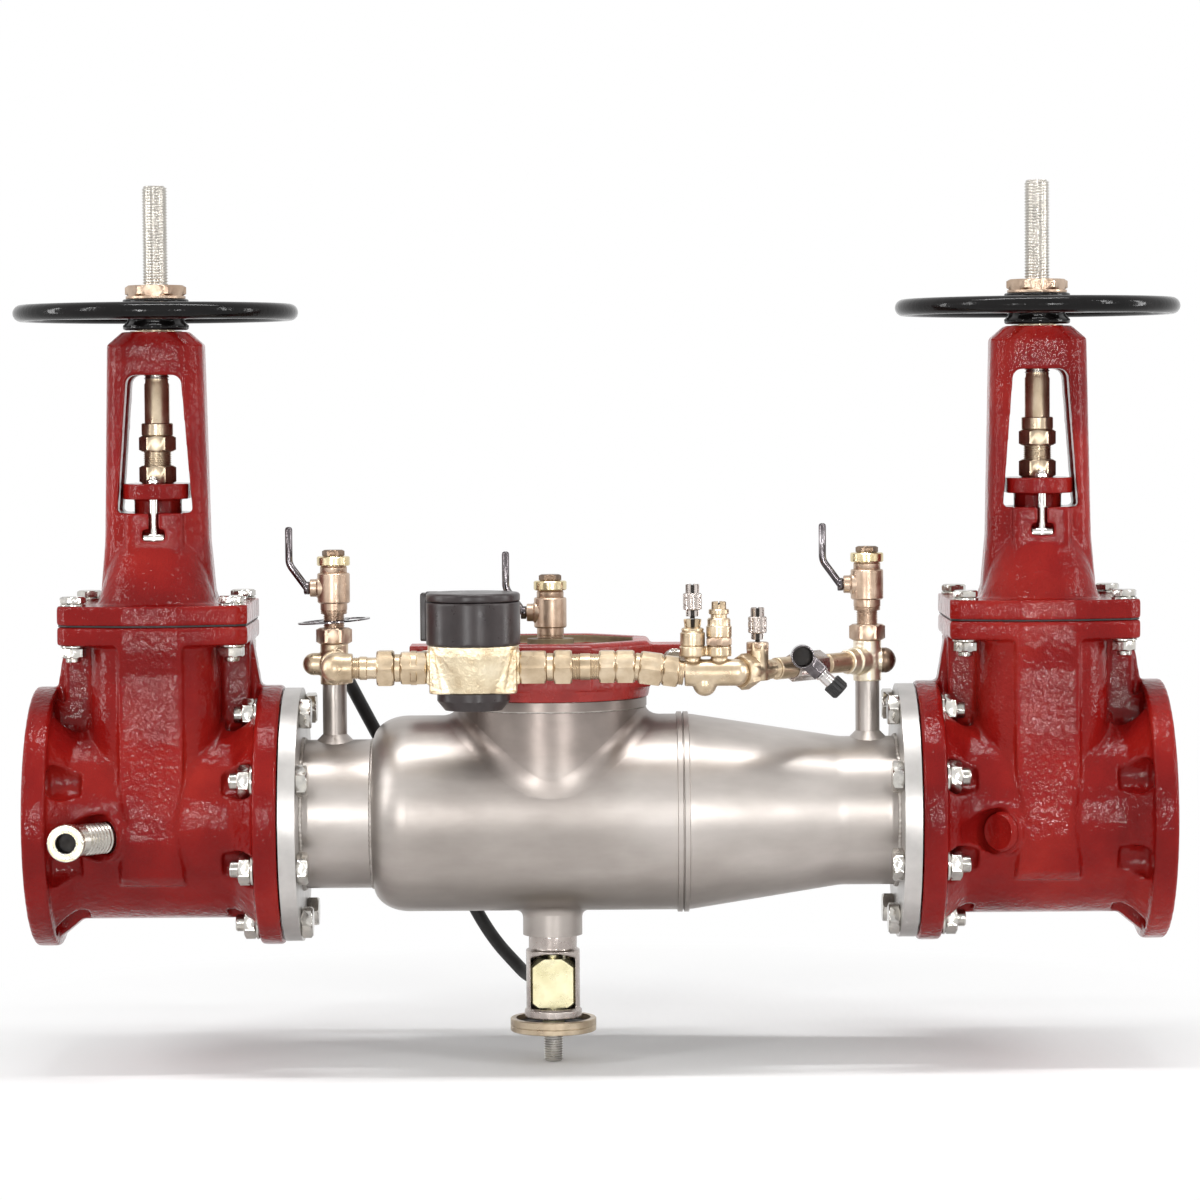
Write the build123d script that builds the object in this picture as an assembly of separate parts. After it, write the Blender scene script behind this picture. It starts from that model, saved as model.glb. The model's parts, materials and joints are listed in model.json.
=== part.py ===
from build123d import *
import os
from math import cos, pi, radians, sin, sqrt, tan

# Reduced pressure detector assembly for a 6 inch fire main, in millimetres.
# +X runs along the flow, +Z is up, and the bypass side faces -Y.
# The origin is the centre of the inlet flange face.

# Driving sizes of the gate valves
VALVE_LENGTH = 266.7
FLANGE_RADIUS = 139.7
FLANGE_THICKNESS = 25.4
FLANGE_EDGE = 2.0
BOLT_CIRCLE_RADIUS = 120.65
BOLT_COUNT = 8
BOLT_HOLE_RADIUS = 11.1
INNER_HOLE_RADIUS = 10.3
FLANGE_BOLT_RADIUS = 9.5
FLANGE_NUT_FLATS = 30.0
FLANGE_NUT_HEIGHT = 16.0
FLANGE_HEAD_HEIGHT = 12.5
BOLT_END = 9.0
WATERWAY_RADIUS = 76.2
BARREL_RADIUS = 111.0
SHOULDER_RADIUS = 131.0
SHOULDER_LENGTH = 24.0
NUT_POCKET_RADIUS = 18.6
NUT_POCKET_DEPTH = 34.0
TRUNK_HALF_X = 69.0
TRUNK_HALF_Y = 96.0
TRUNK_CORNER = 48.0
BULGE_HALF_X = 34.0
BULGE_REACH = 116.0
BULGE_BOTTOM = -66.0
GUSSET_HALF_Y = 13.0
GUSSET_BLOCK_HALF_Y = 27.0
GUSSET_BLOCK_BOTTOM = 88.0
GUSSET_BLOCK_END = 99.0
GUSSET_TOE = 134.0
JOINT_Z = 209.0
JOINT_GASKET = 1.6
JOINT_FLANGE_THICKNESS = 21.0
JOINT_HALF_X = 101.0
JOINT_HALF_Y = 86.0
JOINT_FACET_HALF = 30.0
JOINT_FACET_Y = 102.0
JOINT_CORNER = 10.0
JOINT_BOLT_X = 84.0
JOINT_BOLT_Y = 71.0
JOINT_BOLT_RADIUS = 8.0
JOINT_NUT_FLATS = 24.0
JOINT_NUT_HEIGHT = 13.0
JOINT_HEAD_HEIGHT = 10.0
TAP_BOSS_RADIUS = 25.0
TAP_X = -49.0
TAP_Y = -105.0
TAP_Z = -13.0
TAP_ANGLE = 45.0
TAP_HOLE_RADIUS = 16.7
TAP_HOLE_DEPTH = 16.0
TAP_SPOT_DEPTH = 40.0

# The wedge and the slot that it runs in
WEDGE_RADIUS = 82.0
WEDGE_HALF = 30.0
WEDGE_TAPER = 4.0
WEDGE_SIDE_GAP = 0.6
WEDGE_END_GAP = 4.0
WEDGE_LIFT = 100.0
WEDGE_BOSS_RADIUS = 24.0
WEDGE_BOSS_TOP = 100.0
GUIDE_HALF = 8.0
GUIDE_REACH = 94.0
GUIDE_GAP = 1.0
GUIDE_BOTTOM = -50.0
CAVITY_HALF_X = 50.0
CAVITY_HALF_Y = 88.0
CAVITY_CORNER = 38.0
CAVITY_FLOOR = 52.0

# Bonnet, yoke and what they carry
DOME_HALF_X = 63.0
DOME_HALF_Y = 85.0
DOME_TOP_Z = 302.0
DOME_TOP_HALF_X = 42.0
DOME_TOP_HALF_Y = 47.0
BONNET_WALL = 8.0
YOKE_FOOT_HALF_X = 62.0
YOKE_MID_HALF_X = 56.0
YOKE_MID_Z = 297.0
YOKE_HALF_Y = 37.0
YOKE_SHOULDER_HALF_X = 51.5
YOKE_SHOULDER_Z = 506.0
YOKE_TOP_HALF_X = 35.5
YOKE_TOP_Z = 520.0
YOKE_CORNER = 26.0
WINDOW_BOTTOM_Z = 327.0
WINDOW_TOP_Z = 474.0
WINDOW_BOTTOM_HALF = 40.0
WINDOW_TOP_HALF = 29.0
WINDOW_CORNER = 10.0
LEG_GROOVE_RADIUS = 18.0
LEG_GROOVE_DEPTH = 6.0
BOX_HALF_X = 31.0
BOX_HALF_Y = 52.0
STUFFING_RADIUS = 25.8
STUFFING_DEPTH = 14.0
SLOT_Z = 297.0
SLOT_HEIGHT = 13.0
SLOT_HALF_X = 12.0
SLOT_DEPTH = 15.0
GLAND_BOTTOM_Z = 341.5
GLAND_THICKNESS = 16.5
GLAND_HALF_X = 35.0
GLAND_HALF_Y = 55.0
GLAND_NECK_RADIUS = 25.5
GLAND_BOLT_Y = 45.0
GLAND_BOLT_RADIUS = 4.5
GLAND_NUT_FLATS = 13.0
GLAND_NUT_HEIGHT = 5.0
PACKING_HEX_FLATS = 34.5
PACKING_HEX_HEIGHT = 19.0
PACKING_THREAD_RADIUS = 14.9
PACKING_THREAD_HEIGHT = 15.0
PACKING_NUT_HEIGHT = 17.0
PACKING_COLLAR_RADIUS = 16.9
PACKING_COLLAR_HEIGHT = 13.5
STEM_RADIUS = 13.4
STEM_TOP_Z = 676.0
STEM_CHAMFER = 2.5
STEM_GAP = 0.3
NUT_SLEEVE_RADIUS = 20.0
NUT_COLLAR_RADIUS = 27.5
NUT_COLLAR_HEIGHT = 10.0
NUT_POCKET_Z = 486.0
RUN_GAP = 0.3
YOKE_CAP_LIP = 1.0
WHEEL_RADIUS = 152.4
WHEEL_TUBE_RADIUS = 9.0
WHEEL_Z = 540.5
WHEEL_HUB_RADIUS = 35.5
WHEEL_HUB_BOTTOM_Z = 522.0
WHEEL_HUB_HEIGHT = 33.5
WHEEL_HUB_WAIST = 30.0
WHEEL_SPOKES = 5
SPOKE_WIDTH = 26.0
SPOKE_HEIGHT = 13.0
WHEEL_NUT_FLATS = 57.0
WHEEL_NUT_HEIGHT = 11.5
WHEEL_WASHER_RADIUS = 32.0
WHEEL_WASHER_THICKNESS = 3.0
NUT_SLEEVE_END = 1.5

# Stainless body between the valves
FLANGE_GASKET = 1.6
BODY_LENGTH = 675.4
BODY_FLANGE_RADIUS = 136.5
BODY_FLANGE_THICKNESS = 18.0
PIPE_RADIUS = 80.0
PIPE_WALL = 3.8
SHELL_RADIUS = 105.5
SHELL_WALL = 4.5
HEAD_START = -243.0
HEAD_LENGTH = 38.0
BEAD_START = 82.0
BEAD_LENGTH = 14.0
BEAD_HEIGHT = 2.5
REDUCER_END = 258.0
REDUCER_BLEND = 70.0
PORT_X = -52.0
PORT_RADIUS = 101.0
PORT_WALL = 6.0
PORT_TOP_Z = 116.0
RING_RADIUS = 103.0
RING_HEIGHT = 9.5
RISER_RADIUS = 13.0
RISER_IN_X = -285.0
RISER_OUT_X = 289.0
RISER_FLARE = 9.0
DRAIN_NECK_RADIUS = 32.0
DRAIN_NECK_BOTTOM_Z = -132.0
DRAIN_BORE_RADIUS = 10.0

# Cover plate and its coupling
COVER_GASKET = 1.6
COVER_RIM_RADIUS = 100.0
COVER_RIM_THICKNESS = 10.0
COVER_CROWN_RADIUS = 82.0
COVER_PLATE_TOP_Z = 177.0
COUPLING_BOTTOM_Z = 126.0
COUPLING_TOP_Z = 187.5
COUPLING_FLATS = 214.0
COUPLING_SKIRT_RADIUS = 105.0
COUPLING_SKIRT_HEIGHT = 12.0
COUPLING_RECESS_FLATS = 176.0
COUPLING_CHAMFER = 4.0
COUPLING_SPLIT = 1.2
COUPLING_GAP = 0.4
LUG_END = 151.0
LUG_HALF_Y = 24.0
LUG_BOTTOM_Z = 146.0
LUG_HEIGHT = 36.0
LUG_BOLT_X = 133.0
LUG_BOLT_RADIUS = 8.0
LUG_NUT_FLATS = 24.0
LUG_NUT_HEIGHT = 12.0
COVER_BOSS_RADIUS = 25.0
COVER_BOSS_TOP_Z = 188.0

# Swing checks inside the body
CHECK_SEAT_X = (-160.0, 32.0)
CHECK_PLATE = 12.0
CHECK_BORE = 58.0
CHECK_LIP = 4.0
CHECK_LIP_WIDTH = 6.0
CHECK_FIT = 0.1
CLAPPER_RADIUS = 70.0
CLAPPER_THICKNESS = 9.0
CLAPPER_LIFT_GAP = 0.3
HINGE_Z = 82.0
HINGE_OFFSET = 14.0
HINGE_PIN_RADIUS = 4.0
HINGE_EYE_RADIUS = 8.5
HINGE_EYE_HALF = 22.0
HINGE_PIN_HALF = 38.0
HINGE_EAR = 7.0
PIN_GAP = 0.08
SPRING_RADIUS = 6.5
SPRING_LENGTH = 6.0

# Relief valve under the body
RELIEF_NECK_RADIUS = 26.0
RELIEF_NECK_HEIGHT = 16.0
RELIEF_RADIUS = 29.0
RELIEF_BOTTOM_Z = -222.0
RELIEF_BORE_RADIUS = 26.4
RELIEF_WINDOW_HALF = 24.0
RELIEF_WINDOW_TOP_Z = -150.5
RELIEF_WINDOW_BOTTOM_Z = -211.0
RELIEF_WINDOW_ARCH = 6.0
RELIEF_SEAT_RADIUS = 20.0
RELIEF_COLLAR_RADIUS = 31.0
RELIEF_COLLAR_HEIGHT = 9.0
POPPET_RADIUS = 26.0
POPPET_FLAT = 14.5
POPPET_TOP_Z = -158.0
POPPET_BOTTOM_Z = -210.5
POPPET_CHAMFER = 9.0
POPPET_FOOT_CHAMFER = 5.0
POPPET_STEM_RADIUS = 6.0
POPPET_STEM_LENGTH = 30.0
RELIEF_SPRING_RADIUS = 12.0
RELIEF_SPRING_WIRE = 1.6
RELIEF_SPRING_TURNS = 4
DIAPHRAGM_RADIUS = 40.0
DIAPHRAGM_THICKNESS = 3.5
CUP_RADIUS = 46.4
CUP_TOP_Z = -222.5
CUP_HEIGHT = 14.0
CUP_FLOOR = 5.0
CUP_STUD_RADIUS = 10.5
CUP_STUD_BOTTOM_Z = -269.5

# Test cocks
COCK_NECK_RADIUS = 14.5
COCK_NECK_HEIGHT = 12.0
COCK_BODY_RADIUS = 17.5
COCK_BODY_HEIGHT = 32.0
COCK_COLLAR_HEIGHT = 8.0
COCK_CAP_RADIUS = 17.8
COCK_CAP_HEIGHT = 10.0
COCK_PLUG_FLATS = 21.0
COCK_PLUG_HEIGHT = 7.0
COCK_BOSS_RADIUS = 9.5
COCK_BOSS_END = 25.5
COCK_STEM_RADIUS = 5.0
COCK_STEM_DEPTH = 18.0
LEVER_ROD_RADIUS = 4.0
LEVER_HUB_RADIUS = 7.0
LEVER_HUB_THICKNESS = 6.0
LEVER_REACH = 16.0
LEVER_RISE = 26.0
LEVER_TOP = 66.0
COCK_NUT_FLATS = 33.5
COCK_NUT_HEIGHT = 17.0
COCK_NIPPLE_RADIUS = 11.0
COCK_NIPPLE_HEIGHT = 15.0
HOOP_RADIUS = 39.0
HOOP_WIDTH = 5.0
HOOP_THICKNESS = 1.6
HOOP_COLLAR_RADIUS = 16.5
HOOP_BARS = 3
HOOP_BAR_WIDTH = 3.6
HOOP_TILT = 4.0

# Bypass line
BYPASS_Y = -150.0
BRANCH_Z = 162.0
METER_Z = 167.0
DEVICE_Z = 160.0
CROSS_RADIUS = 15.0
CROSS_REACH = 22.0
TEE_NECK = 12.0
ELBOW_RADIUS = 16.5
ELBOW_X = -273.0
BYPASS_PIPE_RADIUS = 11.2
UNION_FLATS = 36.0
HEX_FLATS = 33.0
RING_PIECE_RADIUS = 14.5
METER_IN_X = -179.0
METER_OUT_X = -82.0
ELBOW_ARM = 24.0
ELBOW_MOUTH = 17.0
UNION_LENGTH = 18.0
ADAPTER_COLLAR = 7.0
ADAPTER_HEX = 27.0
TAIL_HEX = 27.0
TAIL_COLLAR = 8.0
TAIL_NUT = 19.0
TAIL_NIPPLE = 28.0
TAIL_UNION = 17.0
UNION_JOINT = 0.6
TILT_X = 37.0
DEVICE_IN_X = 89.0
DEVICE_OUT_X = 143.0
METER_RADIUS = 47.5
METER_BASE_RADIUS = 37.0
METER_BOTTOM_Z = 141.0
METER_TOP_Z = 191.0
METER_PORT_HALF_Z = 16.5
METER_PORT_HALF_Y = 15.0
METER_PLATE_RADIUS = 38.0
METER_PLATE_BOTTOM_Z = 123.0
REGISTER_TOP_Z = 236.0
REGISTER_RADIUS = 49.0
REGISTER_WALL = 4.0
REGISTER_DEPTH = 12.0
LID_THICKNESS = 9.0
LID_GAP = 0.3
LID_POST_HALF = 6.0
LID_HINGE_X = -49.6
LID_HINGE_Y = 24.0
LID_HINGE_HALF = 13.0
LID_PIN_RADIUS = 2.0
LID_PIN_RISE = 4.0
LID_EAR = 3.5
LID_NOTCH = 10.6
SPINDLE_HEIGHT = 4.0
SPINDLE_RADIUS = 2.5
HAND_LENGTH = 30.0
HAND_THICKNESS = 1.2

# Small backflow device, petcock and tap fitting
DEVICE_RADIUS = 14.0
DEVICE_BULB_RADIUS = 12.5
DEVICE_BULB_BOTTOM_Z = 135.5
TOWER_1_X = 97.6
TOWER_2_X = 125.0
TOWER_BASE_Z = 188.0
TOWER_1_RADIUS = 12.8
TOWER_1_TOP_Z = 216.0
TOWER_2_RADIUS = 13.0
TOWER_2_TOP_Z = 223.0
KNOB_RADIUS = 9.8
KNOB_HEIGHT = 17.0
KNOB_END_RADIUS = 6.8
KNOB_END_HEIGHT = 9.5
UNION_START = 6.0
UNION_END = 21.0
LINE_COCK_REACH = 33.0
LINE_COCK_RADIUS = 11.5
LINE_COCK_BOTTOM_Z = 150.0
LINE_COCK_TOP_Z = 190.0
LINE_COCK_HEX_FLATS = 20.7
LINE_COCK_HEX_HEIGHT = 8.0
LINE_COCK_SHANK = 14.0
PETCOCK_REACH = 102.0
PETCOCK_SEAT = 48.0
PETCOCK_SEAT_FLATS = 27.0
PETCOCK_Z = 175.5
PETCOCK_X = 212.3
PETCOCK_END_Y = -150.0
PETCOCK_RADIUS = 12.3
PETCOCK_BORE = 10.5
PETCOCK_STEM_END_X = 247.5
PETCOCK_STEM_END_Z = 142.9
PETCOCK_HEX_FLATS = 16.0
PETCOCK_CAP_RADIUS = 10.5
PETCOCK_CAP_LENGTH = 15.0
TAP_PIPE_RADIUS = 16.6
TAP_PIPE_LENGTH = 48.5
TAP_ELBOW_RADIUS = 17.5
TAP_SOCKET_RADIUS = 19.5
TAP_STUB_LENGTH = 9.0
TAP_SOCKET_LENGTH = 13.0
TAP_SOCKET_BORE = 10.5

# Sensing hose behind the body
HOSE_RADIUS = 7.2
HOSE_START_Y = 44.0
HOSE_POINTS = (
    (-277.0, 112.0, 136.0),
    (-256.0, 132.0, 92.0),
    (-226.0, 141.0, 34.0),
    (-190.0, 140.0, -30.0),
    (-156.0, 133.0, -90.0),
    (-122.0, 116.0, -150.0),
)
HOSE_PORT_ANGLE = 114.0
HOSE_PORT_Z = -186.0
HOSE_PORT_REACH = 44.0
HOSE_LEAD = 30.0
HOSE_NUT_FLATS = 19.0
HOSE_PORT_RADIUS = 8.0

# Places that follow from the driving sizes
BODY_START = VALVE_LENGTH + FLANGE_GASKET
BODY_END = BODY_START + BODY_LENGTH
MID_X = BODY_START + BODY_LENGTH / 2
TOTAL_LENGTH = BODY_END + FLANGE_GASKET + VALVE_LENGTH
STEM_X = {"inlet": VALVE_LENGTH / 2, "outlet": TOTAL_LENGTH - VALVE_LENGTH / 2}
BONNET_BASE_Z = JOINT_Z + JOINT_GASKET / 2
BONNET_DECK_Z = JOINT_Z + JOINT_FLANGE_THICKNESS
BODY_DECK_Z = JOINT_Z - JOINT_GASKET / 2
BODY_DECK_UNDER_Z = JOINT_Z - JOINT_FLANGE_THICKNESS
GLAND_TOP_Z = GLAND_BOTTOM_Z + GLAND_THICKNESS
BYPASS_START = Vector(MID_X + RISER_IN_X, 0, BRANCH_Z)
BYPASS_END = Vector(MID_X + RISER_OUT_X, 0, BRANCH_Z)
DEVICE_OUT = Vector(MID_X + DEVICE_OUT_X, BYPASS_Y, DEVICE_Z)
COCK_BASE_Z = BRANCH_Z + CROSS_REACH
MIDDLE_BASE_Z = COVER_BOSS_TOP_Z
BOTTOM = (Align.CENTER, Align.CENTER, Align.MIN)

nodes = {}


def rod(start, end, radius):
    """Round bar from one point to another."""
    start, end = Vector(start), Vector(end)
    run = end - start
    return Plane(origin=start, z_dir=run) * Cylinder(radius, run.length, align=BOTTOM)


def hex_bar(start, end, flats, corner=(0, -1, 0)):
    """Hexagonal bar with one edge towards the given direction."""
    start, end = Vector(start), Vector(end)
    run = end - start
    axis = run.normalized()
    side = Vector(corner)
    side = side - axis * side.dot(axis)
    plane = Plane(origin=start, x_dir=side, z_dir=run)
    return plane * extrude(RegularPolygon(flats / 2, 6, major_radius=False), run.length)


def bar_z(x, y, bottom, top, radius):
    """Upright round bar."""
    return Pos(x, y, bottom) * Cylinder(radius, top - bottom, align=BOTTOM)


def hex_z(x, y, bottom, top, flats, turn=0):
    """Upright hexagonal bar."""
    hexagon = RegularPolygon(flats / 2, 6, major_radius=False)
    return Pos(x, y, bottom) * Rot(0, 0, turn) * extrude(hexagon, top - bottom)


def block(low, high):
    """Box from its lowest to its highest corner."""
    size = [b - a for a, b in zip(low, high)]
    middle = [(a + b) / 2 for a, b in zip(low, high)]
    return Pos(*middle) * Box(*size)


def outline(points):
    """Closed straight-sided face."""
    return make_face(Polyline(*points, close=True))


def turned_x(face):
    """Solid turned about X from a face drawn as (x, radius)."""
    return revolve(face, Axis.X)


def turned_z(face):
    """Solid turned about Z from a face drawn as (radius, z)."""
    return revolve(Plane.XZ * face, Axis.Z)


def rounded(width, depth, corner, z=0.0):
    """Rounded rectangle lying level at a height."""
    return Pos(0, 0, z) * RectangleRounded(width, depth, corner)


def bolt_places(radius):
    """Flange bolt places, straddling the centre lines."""
    step = 2 * pi / BOLT_COUNT
    return [(radius * sin(step * (i + 0.5)), radius * cos(step * (i + 0.5))) for i in range(BOLT_COUNT)]


def joint_face(inset=0.0):
    """Outline of the flange between valve body and bonnet."""
    x = JOINT_HALF_X - inset
    y = JOINT_HALF_Y - inset
    facet = JOINT_FACET_Y - inset
    quarter = [(x, 0), (x, y - JOINT_CORNER), (x - JOINT_CORNER, y), (JOINT_FACET_HALF, facet)]
    left = [(-a, b) for a, b in reversed(quarter)]
    upper = quarter + left
    lower = [(a, -b) for a, b in reversed(upper)][1:-1]
    return outline(upper + lower)


def joint_bolt_places():
    """Bolt places on the joint between valve body and bonnet."""
    return [(a * JOINT_BOLT_X, b * JOINT_BOLT_Y) for a in (-1, 1) for b in (-1, 1)]


def slot_half(z):
    """Half width of the wedge slot at a height above the pipe axis."""
    return WEDGE_HALF + WEDGE_SIDE_GAP + z * tan(radians(WEDGE_TAPER))


# Gate valve body

def barrel():
    """Barrel with both end flanges, turned about the pipe axis."""
    half = VALVE_LENGTH / 2
    back = half - FLANGE_THICKNESS
    side = [
        (half, 0),
        (half, FLANGE_RADIUS - FLANGE_EDGE),
        (half - FLANGE_EDGE, FLANGE_RADIUS),
        (back + FLANGE_EDGE, FLANGE_RADIUS),
        (back, FLANGE_RADIUS - FLANGE_EDGE),
        (back, SHOULDER_RADIUS),
        (back - SHOULDER_LENGTH, BARREL_RADIUS),
    ]
    mirrored = [(-x, r) for x, r in reversed(side)]
    return turned_x(outline(side + mirrored))


def gussets():
    """Webs that tie the bonnet flange to the end flanges."""
    back = VALVE_LENGTH / 2 - FLANGE_THICKNESS
    web = outline([
        (0, GUSSET_BLOCK_BOTTOM),
        (back + FLANGE_EDGE, GUSSET_BLOCK_BOTTOM),
        (back + FLANGE_EDGE, GUSSET_TOE),
        (JOINT_HALF_X, BODY_DECK_UNDER_Z),
        (0, BODY_DECK_UNDER_Z),
    ])
    plate = extrude(Plane.XZ * web, GUSSET_HALF_Y, both=True)
    thick = block(
        (0, -GUSSET_BLOCK_HALF_Y, GUSSET_BLOCK_BOTTOM),
        (GUSSET_BLOCK_END, GUSSET_BLOCK_HALF_Y, BODY_DECK_UNDER_Z),
    )
    one_side = plate + thick
    return one_side + mirror(one_side, Plane.YZ)


def bulges():
    """Rounded ribs front and back that hold the guide channels."""
    side = outline([
        (0, BODY_DECK_UNDER_Z),
        (JOINT_FACET_Y, BODY_DECK_UNDER_Z),
        (JOINT_FACET_Y, BODY_DECK_UNDER_Z - 6),
        (BULGE_REACH - 17, BODY_DECK_UNDER_Z - 30),
        (BULGE_REACH - 15, 90),
        (BULGE_REACH, 10),
        (BULGE_REACH, BULGE_BOTTOM + 46),
        (BULGE_REACH - 8, BULGE_BOTTOM + 10),
        (BULGE_REACH - 22, BULGE_BOTTOM),
        (0, BULGE_BOTTOM),
    ])
    rib = extrude(Plane.YZ * side, BULGE_HALF_X, both=True)
    crown = extrude(rounded(2 * BULGE_HALF_X, 2 * BULGE_REACH, 15, BULGE_BOTTOM), BODY_DECK_Z - BULGE_BOTTOM)
    return (rib + mirror(rib, Plane.XZ)) & crown


def wedge_cavity():
    """Slot for the wedge, its guide channels and the space above."""
    reach = WEDGE_RADIUS + WEDGE_END_GAP
    top = CAVITY_FLOOR + 20
    slot = outline([
        (-slot_half(-reach), -reach),
        (slot_half(-reach), -reach),
        (slot_half(top), top),
        (-slot_half(top), top),
    ])
    slot = extrude(Plane.XZ * slot, reach, both=True)
    round_end = rod((-TRUNK_HALF_X, 0, 0), (TRUNK_HALF_X, 0, 0), reach)
    upper = extrude(rounded(2 * CAVITY_HALF_X, 2 * CAVITY_HALF_Y, CAVITY_CORNER, CAVITY_FLOOR), BODY_DECK_Z)
    slot = slot & (round_end + block((-TRUNK_HALF_X, -reach, 0), (TRUNK_HALF_X, reach, top)))
    half = GUIDE_HALF + GUIDE_GAP
    far = GUIDE_REACH + GUIDE_GAP
    channel = block((-half, -far, GUIDE_BOTTOM), (half, far, BODY_DECK_Z + 1))
    return slot + upper + channel


def tap_axis():
    """Direction in which the tapping on the front of the barrel points."""
    return Vector(-sin(radians(TAP_ANGLE)), -cos(radians(TAP_ANGLE)), 0)


def valve_body(inner):
    """Cast valve body, stem axis at x = 0; inner is 1 or -1, the side of the flange that meets the vessel."""
    half = VALVE_LENGTH / 2
    back = half - FLANGE_THICKNESS
    trunk = extrude(rounded(2 * TRUNK_HALF_X, 2 * TRUNK_HALF_Y, TRUNK_CORNER), BODY_DECK_UNDER_Z)
    deck = extrude(Pos(0, 0, BODY_DECK_UNDER_Z) * joint_face(), BODY_DECK_Z - BODY_DECK_UNDER_Z)
    face = Vector(TAP_X, TAP_Y, TAP_Z)
    boss = rod(face - tap_axis() * TRUNK_HALF_X, face, TAP_BOSS_RADIUS)
    body = barrel() + trunk + gussets() + bulges() + deck + boss
    body -= rod((-half, 0, 0), (half, 0, 0), WATERWAY_RADIUS)
    body -= wedge_cavity()
    body -= rod(face, face + tap_axis() * TAP_SPOT_DEPTH, TAP_BOSS_RADIUS)
    for y, z in bolt_places(BOLT_CIRCLE_RADIUS):
        for side, radius in ((inner, INNER_HOLE_RADIUS), (-inner, BOLT_HOLE_RADIUS)):
            seat = side * back
            body -= rod((seat, y, z), (side * half, y, z), radius)
            body -= rod((seat, y, z), (seat - side * NUT_POCKET_DEPTH, y, z), NUT_POCKET_RADIUS)
    for x, y in joint_bolt_places():
        body -= bar_z(x, y, BODY_DECK_UNDER_Z, BODY_DECK_Z, JOINT_BOLT_RADIUS + RUN_GAP)
    if inner == 1:
        body -= rod(face - tap_axis() * TAP_HOLE_DEPTH, face, TAP_HOLE_RADIUS)
    return body


# Wedge and stem

def wedge():
    """Gate wedge with its guide lugs and stem boss, closed at z = 0."""
    def half(z):
        return slot_half(z) - WEDGE_SIDE_GAP
    low, high = -WEDGE_RADIUS, WEDGE_RADIUS
    sides = outline([(-half(low), low), (half(low), low), (half(high), high), (-half(high), high)])
    plate = extrude(Plane.XZ * sides, WEDGE_RADIUS, both=True)
    disc = rod((-TRUNK_HALF_X, 0, 0), (TRUNK_HALF_X, 0, 0), WEDGE_RADIUS)
    lug = block((-GUIDE_HALF, -GUIDE_REACH, 0), (GUIDE_HALF, GUIDE_REACH, WEDGE_BOSS_RADIUS * 2))
    boss = bar_z(0, 0, 0, WEDGE_BOSS_TOP, WEDGE_BOSS_RADIUS)
    gate = (plate & disc) + lug + boss
    return gate - bar_z(0, 0, WEDGE_RADIUS - 30, WEDGE_BOSS_TOP, STEM_RADIUS)


def stem():
    """Rising stem with a chamfered top, resting on the bottom of its socket in the wedge."""
    bottom = WEDGE_LIFT + WEDGE_RADIUS - 30
    profile = outline([
        (0, bottom),
        (STEM_RADIUS, bottom),
        (STEM_RADIUS, STEM_TOP_Z - STEM_CHAMFER),
        (STEM_RADIUS - STEM_CHAMFER, STEM_TOP_Z),
        (0, STEM_TOP_Z),
    ])
    return turned_z(profile)


# Bonnet and yoke

def yoke_shell():
    """Outside of the yoke, from the bonnet flange to its chamfered top."""
    low = rounded(2 * YOKE_FOOT_HALF_X, 2 * YOKE_HALF_Y, YOKE_CORNER, BONNET_DECK_Z)
    mid = rounded(2 * YOKE_MID_HALF_X, 2 * YOKE_HALF_Y, YOKE_CORNER, YOKE_MID_Z)
    shoulder = rounded(2 * YOKE_SHOULDER_HALF_X, 2 * YOKE_HALF_Y, YOKE_CORNER, YOKE_SHOULDER_Z)
    top = rounded(2 * YOKE_TOP_HALF_X, 2 * YOKE_TOP_HALF_X - 1, YOKE_CORNER, YOKE_TOP_Z)
    lower = loft([low, mid], ruled=True)
    upper = loft([mid, shoulder], ruled=True)
    return lower + upper + loft([shoulder, top], ruled=True)


def dome(inset=0.0):
    """Bell-shaped foot of the bonnet; the inset gives the space inside it."""
    low = BONNET_DECK_Z if inset == 0 else BONNET_BASE_Z
    top = DOME_TOP_Z - inset
    sections = [
        rounded(2 * (DOME_HALF_X - inset), 2 * (DOME_HALF_Y - inset), DOME_HALF_X - inset - 2, low),
        rounded(
            DOME_HALF_X + DOME_TOP_HALF_X - 2 * inset,
            DOME_HALF_Y + DOME_TOP_HALF_Y - 2 * inset - 6,
            DOME_TOP_HALF_X - inset,
            (low + top) / 2,
        ),
        rounded(
            2 * (DOME_TOP_HALF_X - inset),
            2 * (DOME_TOP_HALF_Y - inset),
            DOME_TOP_HALF_X - inset - 2,
            top,
        ),
    ]
    return loft(sections)


def yoke_window():
    """Opening through the yoke, front to back."""
    face = outline([
        (-WINDOW_BOTTOM_HALF, WINDOW_BOTTOM_Z),
        (WINDOW_BOTTOM_HALF, WINDOW_BOTTOM_Z),
        (WINDOW_TOP_HALF, WINDOW_TOP_Z),
        (-WINDOW_TOP_HALF, WINDOW_TOP_Z),
    ])
    top_corners = face.vertices().sort_by(Axis.Y)[-2:]
    face = fillet(top_corners, WINDOW_CORNER)
    return extrude(Plane.XZ * face, BOX_HALF_Y * 2, both=True)


def leg_grooves():
    """Hollow backs of the two yoke legs, facing the stem."""
    bottom = Vector(WINDOW_BOTTOM_HALF - LEG_GROOVE_RADIUS + LEG_GROOVE_DEPTH, 0, WINDOW_BOTTOM_Z)
    top = Vector(WINDOW_TOP_HALF - LEG_GROOVE_RADIUS + LEG_GROOVE_DEPTH, 0, WINDOW_TOP_Z)
    groove = rod(bottom, top, LEG_GROOVE_RADIUS)
    return groove + mirror(groove, Plane.YZ)


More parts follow.
